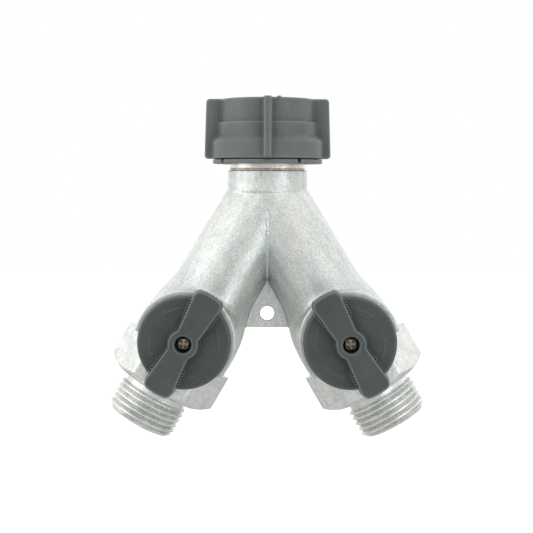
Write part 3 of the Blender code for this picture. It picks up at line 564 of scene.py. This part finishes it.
def ring_field(grid):
    """Retainer ring: sleeve in the nut, rim under it and four spanner slots."""
    radial = np.hypot(grid.x, grid.y)
    sleeve = pin(radial, grid.z, NUT_CAVITY_R - GAP, RING_LOW.z, RING_HIGH.z, edge=0.3)
    rim = pin(radial, grid.z, RIM_R, RING_LOW.z, NUT_LOW.z - GAP, edge=0.4)
    solid = soft_union(sleeve, rim, blend=0.3)
    u = grid.x * math.cos(SLOT_ANGLE) + grid.y * math.sin(SLOT_ANGLE)
    v = grid.y * math.cos(SLOT_ANGLE) - grid.x * math.sin(SLOT_ANGLE)
    across = np.maximum(np.abs(u), np.abs(v))
    beside = np.minimum(np.abs(u), np.abs(v))
    slots = np.maximum(beside - SLOT_WIDTH / 2, RIM_R - SLOT_DEPTH - across)
    solid = soft_cut(solid, slots, blend=0.3)
    return soft_cut(solid, radial - RING_BORE_R, blend=0.3)


def washer_field(grid):
    """The flat hose washer."""
    radial = np.hypot(grid.x, grid.y)
    washer = pin(radial, grid.z, WASHER_HIGH.x, WASHER_LOW.z, WASHER_HIGH.z, edge=0.25)
    return soft_cut(washer, radial - WASHER_BORE_R, blend=0.25)


def make_swivel(nut_material, ring_material, rubber):
    """The nut with its ring and washer, each in one material slot."""
    rows = (
        ("swivel_nut", nut_field, NUT_HIGH.x, NUT_LOW.z, NUT_HIGH.z, 0.26, nut_material),
        ("nut_retainer_ring", ring_field, RIM_R, RING_LOW.z, RING_HIGH.z, 0.25, ring_material),
        ("hose_washer", washer_field, WASHER_HIGH.x, WASHER_LOW.z, WASHER_HIGH.z, 0.25, rubber),
    )
    for node, field, radius, bottom, top, step, material in rows:
        reach = radius + MARGIN
        grid = Grid((-reach, -reach, bottom - MARGIN), (reach, reach, top + MARGIN), step)
        name = node + "_fine"
        show(name, mesh_of(name, *skin(field(grid), grid)), "swivel", node, [material])


# ---------------------------------------------------------------- knobs and screws


def lever_half_width(beyond):
    """Half the lever's width at a distance from the knob's centre."""
    return LEVER_WAIST + LEVER_SPREAD * (beyond - LEVER_WAIST)


def lever_field(grid):
    """Bow-tie lever with rounded ends, drafted sides and small grip teeth on its ends."""
    radial = np.hypot(grid.x, grid.y)
    beyond = np.abs(grid.y)
    sides = (np.abs(grid.x) - lever_half_width(beyond)) / math.hypot(1.0, LEVER_SPREAD)
    outline = rounded_meet(sides, radial - LEVER_END_R, LEVER_CORNER_R)
    outline = soft_union(outline, radial - HUB_R, blend=0.5)
    depth = LEVER_TOP - grid.z
    at_end = smooth_step(radial - LEVER_END_R + TOOTH_DEPTH) * (np.abs(grid.x) < TOOTH_REACH)
    around = np.arctan2(grid.x, beyond) * LEVER_END_R
    tooth = smooth_step(0.5 + 0.8 * np.cos(2 * math.pi * around / TOOTH_PITCH)) * TOOTH_HEIGHT
    draft = LEVER_DRAFT * np.clip(depth / (LEVER_TOP - KNOB_FACE), 0.0, 1.0)
    outline = outline - draft * (1 - at_end) - tooth * at_end * np.clip(depth - TOOTH_TOP, 0.0, 1.0)
    return rounded_meet(outline, between(grid.z, KNOB_FACE - OVERLAP, LEVER_TOP), radius=0.35)


def arrow_field(grid):
    """Four raised marks on the disc: curved ribs that each end in an arrow's head."""
    from_ring = np.abs(np.hypot(grid.x, grid.y) - MARK_R)
    angle = np.degrees(np.arctan2(grid.y, grid.x))
    arrows = []
    for start in MARK_STARTS_DEG:
        end = start + MARK_SPAN_DEG
        along = np.clip((angle - start) / MARK_SPAN_DEG, 0.0, 1.0)
        head = np.clip((along - MARK_NECK) / (1 - MARK_NECK), 0.0, 1.0)
        half = np.where(along > MARK_NECK, MARK_HEAD_HALF * (1 - head), MARK_WIDTH / 2)
        outside = np.maximum(start - angle, angle - end) * math.radians(MARK_R)
        arrows.append(np.maximum(from_ring - half, outside))
    height = between(grid.z, KNOB_FACE - 0.5 * OVERLAP, KNOB_FACE + MARK_HEIGHT)
    return np.maximum(height, np.minimum.reduce(arrows))


def pit_field(grid):
    """Rows of small pits along the lever's sides, open towards the knob's face."""
    beyond = np.abs(grid.y)
    index = np.clip(np.round((beyond - PIT_START) / PIT_PITCH), 0, PIT_COUNT - 1)
    from_line = np.abs(grid.x) - lever_half_width(beyond) - PIT_OUTSET
    pit = np.hypot(from_line, beyond - (index * PIT_PITCH + PIT_START)) - PIT_R
    return np.maximum(pit, between(grid.z, KNOB_FACE - PIT_DEPTH, LEVER_TOP - PIT_TOP))


def underside_field(grid, radial):
    """The hollow under the disc, round the hub and the two ribs that meet the stop lug."""
    hollow = pin(radial, grid.z, KNOB_R - KNOB_SKIRT, KNOB_FOOT - PAST, KNOB_CEILING, edge=0.3)
    hollow = soft_cut(hollow, radial - HUB_R, blend=0.3)
    contact = math.asin((STOP_HALF + RIB_HALF + GAP) / STOP_IN)
    for turn in (-contact, math.pi / 2 + contact):
        u = grid.x * math.cos(turn) + grid.y * math.sin(turn)
        v = grid.y * math.cos(turn) - grid.x * math.sin(turn)
        hollow = soft_cut(hollow, np.maximum(np.abs(v) - RIB_HALF, -u), blend=0.2)
    return hollow


def screw_hole_field(grid, radial):
    """The screw's chamfered counterbore and hole, and behind them the square socket for the stem."""
    well = pin(radial, grid.z, COUNTERBORE_R, COUNTERBORE_FLOOR, LEVER_TOP + PAST)
    chamfer = cone(radial, -grid.z, (COUNTERBORE_R + COUNTERBORE_CHAMFER, -LEVER_TOP), slope=1.0)
    well = np.minimum(well, np.maximum(chamfer, LEVER_TOP - 2 * OVERLAP - grid.z))
    hole = pin(radial, grid.z, SCREW_R + GAP, SOCKET_TOP - OVERLAP, COUNTERBORE_FLOOR + OVERLAP)
    well = np.minimum(well, hole)
    socket = brick(grid.x, grid.y, grid.z, SOCKET_HALF, SOCKET_HALF, KNOB_FOOT - PAST, SOCKET_TOP, edge=0.1)
    return np.minimum(well, socket)


def knob_field(grid):
    """Hollow disc with a bow-tie lever and marks on its face."""
    radial = np.hypot(grid.x, grid.y)
    disc = pin(radial, grid.z, KNOB_R, KNOB_FOOT - PAST, KNOB_FACE, edge=1.0)
    disc = np.maximum(disc, KNOB_FOOT - grid.z)
    disc = soft_union(disc, arrow_field(grid), blend=0.12)
    solid = soft_union(disc, lever_field(grid), blend=0.25)
    solid = soft_cut(solid, pit_field(grid), blend=0.1)
    solid = soft_cut(solid, underside_field(grid, radial), blend=0.25)
    solid = np.maximum(solid, KNOB_FOOT - grid.z)
    return soft_cut(solid, screw_hole_field(grid, radial), blend=0.15)


def screw_field(grid):
    """Pan head with a cross recess, and a plain shank."""
    radial = np.hypot(grid.x, grid.y)
    foot = COUNTERBORE_FLOOR + GAP
    head = pin(radial, grid.z, SCREW_HEAD_R, foot, SCREW_HEAD_TOP, edge=0.25)
    dome = np.sqrt(radial**2 + (grid.z - SCREW_HEAD_TOP + SCREW_DOME_R) ** 2) - SCREW_DOME_R
    head = rounded_meet(head, dome, radius=0.3)
    shank = pin(radial, grid.z, SCREW_R, SCREW_TIP, foot + 0.5 * OVERLAP, edge=0.3)
    solid = np.minimum(head, shank)
    taper = RECESS_TAPER * (SCREW_HEAD_TOP - grid.z)
    arms = np.minimum(
        np.maximum(np.abs(grid.x) - RECESS_NARROW, np.abs(grid.y) - RECESS_WIDE + taper),
        np.maximum(np.abs(grid.y) - RECESS_NARROW, np.abs(grid.x) - RECESS_WIDE + taper),
    )
    recess = np.maximum(arms, SCREW_HEAD_TOP - RECESS_DEPTH - grid.z)
    return soft_cut(solid, recess, blend=0.12)


def make_knobs(plastic, screw_metal):
    """Both knobs have one shape, and so do their screws, each turned a little in its knob."""
    margin = 0.8
    wide, reach = KNOB_R + margin, LEVER_END_R + margin
    grid = Grid((-wide, -reach, KNOB_FOOT - margin), (wide, reach, LEVER_TOP + margin), step=0.2)
    knob = mesh_of("knob", *skin(knob_field(grid), grid))
    margin = 0.4
    reach = SCREW_HEAD_R + margin
    grid = Grid((-reach, -reach, SCREW_TIP - margin), (reach, reach, SCREW_HEAD_TOP + margin), step=0.1)
    screw = mesh_of("knob_screw", *skin(screw_field(grid), grid))
    for label, side in SIDES.items():
        place = valve_place(side)
        body = f"valve_{label}"
        node = f"knob_{label}"
        show(node + "_fine", knob, body, node, [plastic], place)
        slanted = place @ Matrix.Rotation(side * SCREW_TURN, 4, "Z")
        node = f"knob_screw_{label}"
        show(node + "_fine", screw, body, node, [screw_metal], slanted)


# ---------------------------------------------------------------- balls and seats


def ball_field(grid):
    """A ball drilled through for the water, with a slot for the stem's tang."""
    sphere = np.sqrt(grid.x**2 + grid.y**2 + grid.z**2) - BALL_R
    bore = np.hypot(grid.x, grid.z) - BALL_BORE_R
    slot = np.maximum(np.abs(grid.y) - TANG_HALF, SLOT_FLOOR - grid.z)
    return soft_cut(soft_cut(sphere, bore, blend=0.5), slot, blend=0.2)


def seat_field(grid):
    """A ring whose inner face is hollowed to the ball."""
    radial = np.hypot(grid.x, grid.y)
    seat = pin(radial, grid.z, NOSE_R, SEAT_NEAR, SEAT_FAR, edge=0.2)
    seat = soft_cut(seat, radial - SEAT_BORE_R, blend=0.3)
    return np.maximum(seat, BALL_R + SEAT_GAP - np.hypot(radial, grid.z))


def make_waterway(chrome, ptfe):
    """Drilled balls and their seats, seen through the outlets."""
    reach = BALL_R + MARGIN
    grid = Grid((-reach, -reach, -reach), (reach, reach, reach), step=0.3)
    ball = mesh_of("ball", *skin(ball_field(grid), grid))
    reach = NOSE_R + MARGIN
    grid = Grid((-reach, -reach, SEAT_NEAR - MARGIN), (reach, reach, SEAT_FAR + MARGIN), step=0.3)
    seat = mesh_of("seat", *skin(seat_field(grid), grid))
    for label, side in SIDES.items():
        node = f"ball_{label}"
        show(node + "_fine", ball, f"valve_{label}", node, [chrome], valve_place(side))
        downstream = arm_place(side) @ Matrix.Translation((0, 0, VALVE_S * MM))
        upstream = downstream @ Matrix.Rotation(math.pi, 4, "X")
        for where, place in (("downstream", downstream), ("upstream", upstream)):
            node = f"seat_{where}_{label}"
            show(node + "_fine", seat, "casting", node, [ptfe], place)


# ---------------------------------------------------------------- materials


# How far apart, in millimetres, the two arms lie in the zinc's pattern, so that they don't mirror each other
SIDE_OFFSET = 137.0


def tinted(tone, red, green, blue):
    """A colour with each channel scaled, kept within white."""
    return tuple(min(1.0, channel * share) for channel, share in zip(tone, (red, green, blue)))


class Nodes:
    """A short way to write a material's node tree."""

    def __init__(self, name):
        self.material = bpy.data.materials.new(name)
        self.material.use_nodes = True
        self.tree = self.material.node_tree
        self.shader = self.tree.nodes["Principled BSDF"]
        coordinates = self.tree.nodes.new("ShaderNodeTexCoord")
        scale = self.tree.nodes.new("ShaderNodeMapping")
        scale.inputs["Scale"].default_value = (1 / MM, 1 / MM, 1 / MM)
        self.tree.links.new(coordinates.outputs["Object"], scale.inputs["Vector"])
        self.place = scale.outputs["Vector"]

    def link(self, output, target):
        """Joins an output to an input."""
        self.tree.links.new(output, target)

    def put(self, kind, value):
        """Sets an input of the shader to a number or to a node's output."""
        socket = self.shader.inputs[kind]
        if isinstance(value, bpy.types.NodeSocket):
            self.link(value, socket)
        else:
            socket.default_value = value

    def along_arms(self):
        """Coordinates whose Z runs down whichever arm is nearer, the two sides set apart from each other."""
        parts = self.tree.nodes.new("ShaderNodeSeparateXYZ")
        self.link(self.place, parts.inputs["Vector"])
        folded = self.tree.nodes.new("ShaderNodeCombineXYZ")
        self.link(self.math("ABSOLUTE", parts.outputs["X"], 0.0), folded.inputs["X"])
        side = self.math("MULTIPLY", self.math("GREATER_THAN", parts.outputs["X"], 0.0), SIDE_OFFSET)
        self.link(self.math("ADD", parts.outputs["Y"], side), folded.inputs["Y"])
        self.link(parts.outputs["Z"], folded.inputs["Z"])
        turn = self.tree.nodes.new("ShaderNodeMapping")
        turn.inputs["Rotation"].default_value = (0.0, ARM_ANGLE, 0.0)
        self.link(folded.outputs["Vector"], turn.inputs["Vector"])
        return turn.outputs["Vector"]

    def noise(self, per_mm, detail=4.0, roughness=0.55, stretch=None, place=None):
        """Noise of a given fineness in cycles per millimetre, from 0 to 1."""
        node = self.tree.nodes.new("ShaderNodeTexNoise")
        node.inputs["Scale"].default_value = per_mm
        node.inputs["Detail"].default_value = detail
        node.inputs["Roughness"].default_value = roughness
        source = place or self.place
        if stretch is not None:
            squeeze = self.tree.nodes.new("ShaderNodeMapping")
            squeeze.inputs["Scale"].default_value = stretch
            self.link(source, squeeze.inputs["Vector"])
            source = squeeze.outputs["Vector"]
        self.link(source, node.inputs["Vector"])
        return node.outputs["Fac"]

    def spots(self, per_mm):
        """Distance to scattered points."""
        node = self.tree.nodes.new("ShaderNodeTexVoronoi")
        node.inputs["Scale"].default_value = per_mm
        self.link(self.place, node.inputs["Vector"])
        return node.outputs["Distance"]

    def ramp(self, value, low, high, to_low=0.0, to_high=1.0):
        """Maps a range of a value to another, clamped."""
        node = self.tree.nodes.new("ShaderNodeMapRange")
        self.link(value, node.inputs["Value"])
        node.inputs["From Min"].default_value = low
        node.inputs["From Max"].default_value = high
        node.inputs["To Min"].default_value = to_low
        node.inputs["To Max"].default_value = to_high
        return node.outputs["Result"]

    def math(self, operation, a, b):
        """One sum on two values."""
        node = self.tree.nodes.new("ShaderNodeMath")
        node.operation = operation
        for socket, value in zip(node.inputs, (a, b)):
            if isinstance(value, bpy.types.NodeSocket):
                self.link(value, socket)
            else:
                socket.default_value = value
        return node.outputs["Value"]

    def mix(self, factor, a, b):
        """Mixes two colours."""
        node = self.tree.nodes.new("ShaderNodeMix")
        node.data_type = "RGBA"
        self.link(factor, node.inputs["Factor"])
        for name, value in (("A", a), ("B", b)):
            socket = next(s for s in node.inputs if s.name == name and s.type == "RGBA")
            if isinstance(value, bpy.types.NodeSocket):
                self.link(value, socket)
            else:
                socket.default_value = (*value, 1.0)
        return next(s for s in node.outputs if s.type == "RGBA")

    def openness(self, reach_mm, inside=False):
        """How open a place is: 0 in a crevice, 1 in the open. With inside, it is low at a sharp edge."""
        node = self.tree.nodes.new("ShaderNodeAmbientOcclusion")
        node.samples = 8
        node.inside = inside
        node.only_local = inside
        node.inputs["Distance"].default_value = reach_mm * MM
        return node.outputs["AO"]

    def bump(self, height, depth_mm, below=None):
        """A bump whose full height range is depth_mm."""
        node = self.tree.nodes.new("ShaderNodeBump")
        node.inputs["Distance"].default_value = depth_mm * MM
        self.link(height, node.inputs["Height"])
        if below is not None:
            self.link(below, node.inputs["Normal"])
        return node.outputs["Normal"]


def zinc(name, tone, stretch, crevice_shade_tint, crevice_shade_share, crevice_shade_reach, roughness):
    """Bare die-cast zinc: cool and warm streaks along the arms, fine grain, a few pits, and painted shade in
    hollows.

    The pattern is drawn out along the arms by 1 / stretch. The painted shade darkens the colour towards
    crevice_shade_tint where a surface is within crevice_shade_reach of another.
    """
    n = Nodes(name)
    arms = n.along_arms()
    streaks = n.noise(0.20, 4.0, 0.6, (1.0, 1.0, stretch), arms)
    warmth = n.noise(0.16, 3.0, 0.55, (1.0, 1.0, stretch), arms)
    patches = n.noise(0.42, 5.0, 0.66, (1.0, 1.0, 0.4 + 0.6 * stretch), arms)
    grain = n.noise(2.1, 4.0, 0.62)
    cool, warm = tinted(tone, 0.79, 0.845, 0.845), tinted(tone, 0.985, 0.96, 0.91)
    colour = n.mix(n.ramp(streaks, 0.45, 0.58), tone, cool)
    colour = n.mix(n.ramp(warmth, 0.50, 0.62, 0.0, 0.8), colour, warm)
    colour = n.mix(n.ramp(patches, 0.46, 0.66, 0.0, 0.6), colour, tinted(tone, 0.70, 0.74, 0.74))
    colour = n.mix(n.ramp(grain, 0.50, 0.66, 0.0, 0.85), colour, tinted(tone, 0.62, 0.64, 0.63))
    colour = n.mix(n.ramp(grain, 0.34, 0.47, 0.9, 0.0), colour, tinted(tone, 1.16, 1.16, 1.14))
    holes = n.ramp(n.spots(0.45), 0.05, 0.12, 1.0, 0.0)
    pitted = n.math("MULTIPLY", holes, n.ramp(n.noise(0.3, 2.0), 0.50, 0.56))
    colour = n.mix(pitted, colour, (0.20, 0.21, 0.20))
    # Painted shade: the colour is darkened in hollows, creases and thread roots, where less light falls.
    painted_shade = n.ramp(n.openness(crevice_shade_reach), 0.15, 0.9, crevice_shade_share, 0.0)
    colour = n.mix(painted_shade, colour, crevice_shade_tint)
    n.put("Base Color", colour)
    n.put("Metallic", 0.92)
    n.put("Roughness", n.ramp(patches, 0.3, 0.7, roughness - 0.05, roughness + 0.08))
    surface = n.bump(patches, 0.14)
    surface = n.bump(grain, 0.04, surface)
    surface = n.bump(n.math("SUBTRACT", 1.0, pitted), 0.08, surface)
    n.put("Normal", surface)
    return n.material


def machined_zinc():
    """Turned zinc: warmer and brighter, with fine rings round the inlet's axis."""
    n = Nodes("machined_zinc")
    rings = n.noise(0.5, 2.0, 0.5, (0.05, 0.05, 9.0))
    stain = n.noise(0.25, 4.0, 0.6)
    tone = n.mix(n.ramp(rings, 0.35, 0.65), (0.66, 0.64, 0.58), (0.84, 0.82, 0.76))
    tone = n.mix(n.ramp(stain, 0.50, 0.66, 0.0, 0.6), tone, (0.40, 0.37, 0.30))
    n.put("Base Color", tone)
    n.put("Metallic", 0.95)
    n.put("Roughness", n.ramp(stain, 0.3, 0.7, 0.22, 0.34))
    n.put("Normal", n.bump(rings, 0.02))
    return n.material


def moulded_plastic(name, dark, light, edge, corner_shade_reach, roughness):
    """Satin moulded plastic: faint clouds, fine texture, pale specks, a painted highlight on sharp edges and
    painted shade in corners.
    """
    n = Nodes(name)
    cloud = n.noise(0.12, 4.0)
    speck = n.noise(3.0, 4.0, 0.65)
    tone = n.mix(n.ramp(cloud, 0.3, 0.7), dark, light)
    tone = n.mix(n.ramp(speck, 0.45, 0.7, 0.0, 0.35), tone, tinted(light, 1.5, 1.5, 1.5))
    scuff = n.ramp(n.noise(1.1, 6.0, 0.7), 0.56, 0.72, 0.0, 0.5)
    tone = n.mix(scuff, tone, tinted(light, 1.6, 1.6, 1.6))
    # Painted shade: the colour is darkened in corners and recesses, where less light falls.
    painted_shade = n.ramp(n.openness(corner_shade_reach), 0.40, 0.95, 0.85, 0.0)
    tone = n.mix(painted_shade, tone, tinted(dark, 0.30, 0.32, 0.31))
    dots = n.ramp(n.spots(0.32), 0.03, 0.07, 0.6, 0.0)
    dots = n.math("MULTIPLY", dots, n.ramp(n.noise(0.2, 2.0), 0.45, 0.55))
    # Painted highlight: sharp edges are lightened towards the edge colour, standing for light caught by their
    # bevels; the pale specks take the same colour.
    edge_highlight = n.ramp(n.openness(0.8, inside=True), 0.78, 0.95, 0.9, 0.0)
    tone = n.mix(n.math("MAXIMUM", dots, edge_highlight), tone, edge)
    n.put("Base Color", tone)
    n.put("Roughness", n.ramp(speck, 0.3, 0.7, roughness - 0.06, roughness + 0.08))
    n.put("Specular IOR Level", 0.45)
    n.put("Normal", n.bump(speck, 0.025))
    return n.material


def plain_metal(name, dark, light, roughness):
    """A small metal part with slight tone and polish variation, and painted shade in its recesses."""
    n = Nodes(name)
    cloud = n.noise(0.8, 4.0)
    tone = n.mix(n.ramp(cloud, 0.3, 0.7), dark, light)
    # Painted shade: the colour is darkened almost to black in recesses such as the screw's cross, where less
    # light falls.
    painted_shade = n.ramp(n.openness(1.8), 0.35, 0.95, 0.95, 0.0)
    n.put("Base Color", n.mix(painted_shade, tone, tinted(dark, 0.12, 0.12, 0.12)))
    n.put("Metallic", 1.0)
    n.put("Roughness", n.ramp(cloud, 0.3, 0.7, roughness * 0.8, roughness * 1.2))
    n.put("Normal", n.bump(n.noise(5.0, 3.0), 0.01))
    return n.material


def soft_polymer(name, dark, light, roughness):
    """Rubber or PTFE with a faint mottle."""
    n = Nodes(name)
    cloud = n.noise(0.6, 4.0)
    n.put("Base Color", n.mix(n.ramp(cloud, 0.3, 0.7), dark, light))
    n.put("Roughness", n.ramp(cloud, 0.3, 0.7, roughness - 0.08, roughness + 0.08))
    n.put("Normal", n.bump(n.noise(2.5, 4.0), 0.02))
    return n.material


def finish_cad_nodes(brass, rubber, ptfe):
    """Gives the CAD nodes that stay, all inside the valves, their materials; longer names are tried first."""
    finishes = {"stem_thrust": ptfe, "stem_o_ring": rubber, "outlet_o_ring": rubber, "stem": brass}
    for name, node in frame["nodes"].items():
        for start, material in finishes.items():
            if name.startswith(start):
                node.data.materials.clear()
                node.data.materials.append(material)
                break


# ---------------------------------------------------------------- stage, light and camera, in metres


FLOOR_DROP, FLOOR_REACH = 0.260, 6.0
WHITE = (1.0, 1.0, 1.0)
AIM = Vector((-0.0003, 0.0, -0.0550))
CAMERA_DISTANCE, CAMERA_LENS_MM, SENSOR_MM = 0.560, 98.0, 36.0
CAMERA_ELEVATION, CAMERA_ROLL = math.radians(3.0), math.radians(0.15)

# Each soft light: place, width, watts and colour
LIGHTS = {
    "key": ((-0.62, -0.78, 0.30), 0.9, 0.6, WHITE),
    "side": ((-1.05, -0.20, 0.00), 0.8, 1.3, WHITE),
    "window": ((0.34, -0.40, -0.16), 0.25, 0.30, (0.88, 0.95, 1.0)),
}

# How bright the tent is along a direction: axis, where the change starts and ends, brightness at each end
WORLD_RANGES = (
    ("X", -1.0, -0.72, 0.98, 1.04),
    ("X", 0.72, 1.0, 1.0, 0.80),
    ("Y", -1.0, -0.45, 0.79, 1.10),
    ("Z", -0.75, 0.0, 0.60, 1.0),
    ("Z", 0.2, 0.9, 1.0, 0.86),
)


def add_stage():
    """A seamless floor far below the hanging part, white to the camera and grey to everything else."""
    height = cad_bounds[0][2] - FLOOR_DROP
    corners = [(x * FLOOR_REACH, y * FLOOR_REACH, height) for x, y in ((-1, -1), (1, -1), (1, 1), (-1, 1))]
    mesh = bpy.data.meshes.new("floor")
    mesh.from_pydata(corners, [], [(0, 1, 2, 3)])
    floor = bpy.data.objects.new("floor", mesh)
    bpy.context.scene.collection.objects.link(floor)
    paper = bpy.data.materials.new("paper")
    paper.use_nodes = True
    shader = paper.node_tree.nodes["Principled BSDF"]
    shader.inputs["Base Color"].default_value = (0.55, 0.55, 0.55, 1.0)
    shader.inputs["Roughness"].default_value = 0.9
    shader.inputs["Emission Color"].default_value = (*WHITE, 1.0)
    seen = paper.node_tree.nodes.new("ShaderNodeLightPath")
    paper.node_tree.links.new(seen.outputs["Is Camera Ray"], shader.inputs["Emission Strength"])
    mesh.materials.append(paper)


def add_light(name, centre, size, power, colour):
    """A square soft light aimed at the middle of the part."""
    light = bpy.data.lights.new(name, "AREA")
    light.shape = "SQUARE"
    light.size = size
    light.energy = power
    light.color = colour
    lamp = bpy.data.objects.new(name, light)
    bpy.context.scene.collection.objects.link(lamp)
    lamp.location = centre
    beam = Vector((0.0, 0.0, AIM.z)) - lamp.location
    lamp.rotation_euler = beam.to_track_quat("-Z", "Y").to_euler()


def add_world():
    """A light tent, brightest behind the part and greyer to its right, its front, above and below.

    The camera sees it as plain white. Its brightness is the product of WORLD_RANGES.
    """
    world = bpy.data.worlds.new("tent")
    bpy.context.scene.world = world
    world.use_nodes = True
    tree = world.node_tree
    tree.nodes.clear()
    output = tree.nodes.new("ShaderNodeOutputWorld")
    background = tree.nodes.new("ShaderNodeBackground")
    coordinates = tree.nodes.new("ShaderNodeTexCoord")
    split = tree.nodes.new("ShaderNodeSeparateXYZ")
    tree.links.new(coordinates.outputs["Generated"], split.inputs["Vector"])
    brightness = None
    for axis, low, high, *ends in WORLD_RANGES:
        step = tree.nodes.new("ShaderNodeMapRange")
        step.interpolation_type = "SMOOTHSTEP"
        tree.links.new(split.outputs[axis], step.inputs["Value"])
        for name, value in zip(("From Min", "From Max", "To Min", "To Max"), (low, high, *ends)):
            step.inputs[name].default_value = value
        product = tree.nodes.new("ShaderNodeMath")
        product.operation = "MULTIPLY"
        product.inputs[0].default_value = 1.0
        if brightness is not None:
            tree.links.new(brightness, product.inputs[0])
        tree.links.new(step.outputs["Result"], product.inputs[1])
        brightness = product.outputs["Value"]
    seen = tree.nodes.new("ShaderNodeLightPath")
    mix = tree.nodes.new("ShaderNodeMix")
    tree.links.new(seen.outputs["Is Camera Ray"], mix.inputs["Factor"])
    tree.links.new(brightness, mix.inputs["A"])
    mix.inputs["B"].default_value = 1.0
    tree.links.new(mix.outputs["Result"], background.inputs["Strength"])
    background.inputs["Color"].default_value = (*WHITE, 1.0)
    tree.links.new(background.outputs["Background"], output.inputs["Surface"])


def add_camera():
    """A long lens straight in front, a little above level."""
    camera = bpy.data.cameras.new("camera")
    camera.lens = CAMERA_LENS_MM
    camera.sensor_width = SENSOR_MM
    camera.clip_start = 0.05
    camera.clip_end = 50.0
    eye = bpy.data.objects.new("camera", camera)
    bpy.context.scene.collection.objects.link(eye)
    back = Vector((0.0, -math.cos(CAMERA_ELEVATION), math.sin(CAMERA_ELEVATION)))
    eye.location = AIM + CAMERA_DISTANCE * back
    look = (AIM - eye.location).to_track_quat("-Z", "Y").to_matrix()
    eye.rotation_euler = (look @ Matrix.Rotation(CAMERA_ROLL, 3, "Z")).to_euler()
    bpy.context.scene.camera = eye


add_camera()
add_stage()
add_world()
for light, settings in LIGHTS.items():
    add_light(light, *settings)
bpy.context.scene.view_settings.view_transform = "Standard"

# Both zincs get painted shade in their hollows: dark and far-reaching on the casting, faint and close on the
# fittings.
cast_zinc = zinc(
    "cast_zinc", tone=(0.82, 0.835, 0.81), stretch=0.24,
    crevice_shade_tint=(0.22, 0.26, 0.26), crevice_shade_share=0.72, crevice_shade_reach=13.0, roughness=0.38,
)
outlet_zinc = zinc(
    "fitting_zinc", tone=(0.92, 0.92, 0.89), stretch=0.9,
    crevice_shade_tint=(0.38, 0.38, 0.36), crevice_shade_share=0.15, crevice_shade_reach=1.6, roughness=0.36,
)
turned_zinc = machined_zinc()
# The plastics carry painted shade in corners and a painted highlight, in the edge colour, on sharp edges.
nut_plastic = moulded_plastic(
    "nut_plastic", dark=(0.112, 0.127, 0.119), light=(0.146, 0.162, 0.152), edge=(0.24, 0.29, 0.28),
    corner_shade_reach=5.0, roughness=0.40,
)
ring_plastic = moulded_plastic(
    "ring_plastic", dark=(0.11, 0.125, 0.118), light=(0.145, 0.16, 0.15), edge=(0.22, 0.25, 0.24),
    corner_shade_reach=3.0, roughness=0.42,
)
knob_plastic = moulded_plastic(
    "knob_plastic", dark=(0.048, 0.062, 0.057), light=(0.066, 0.082, 0.076), edge=(0.20, 0.235, 0.225),
    corner_shade_reach=3.0, roughness=0.40,
)
rubber = soft_polymer("rubber", dark=(0.012, 0.012, 0.012), light=(0.022, 0.022, 0.022), roughness=0.6)
ptfe = soft_polymer("ptfe", dark=(0.72, 0.72, 0.70), light=(0.82, 0.82, 0.80), roughness=0.45)
chrome = plain_metal("chrome", dark=(0.66, 0.67, 0.68), light=(0.74, 0.75, 0.76), roughness=0.08)
brass = plain_metal("brass", dark=(0.50, 0.36, 0.15), light=(0.62, 0.46, 0.22), roughness=0.28)
screw_metal = plain_metal("screw_metal", dark=(0.42, 0.36, 0.28), light=(0.62, 0.55, 0.45), roughness=0.32)

make_casting([cast_zinc, turned_zinc])
make_fittings([outlet_zinc])
make_swivel(nut_plastic, ring_plastic, rubber)
make_knobs(knob_plastic, screw_metal)
make_waterway(chrome, ptfe)
finish_cad_nodes(brass, rubber, ptfe)
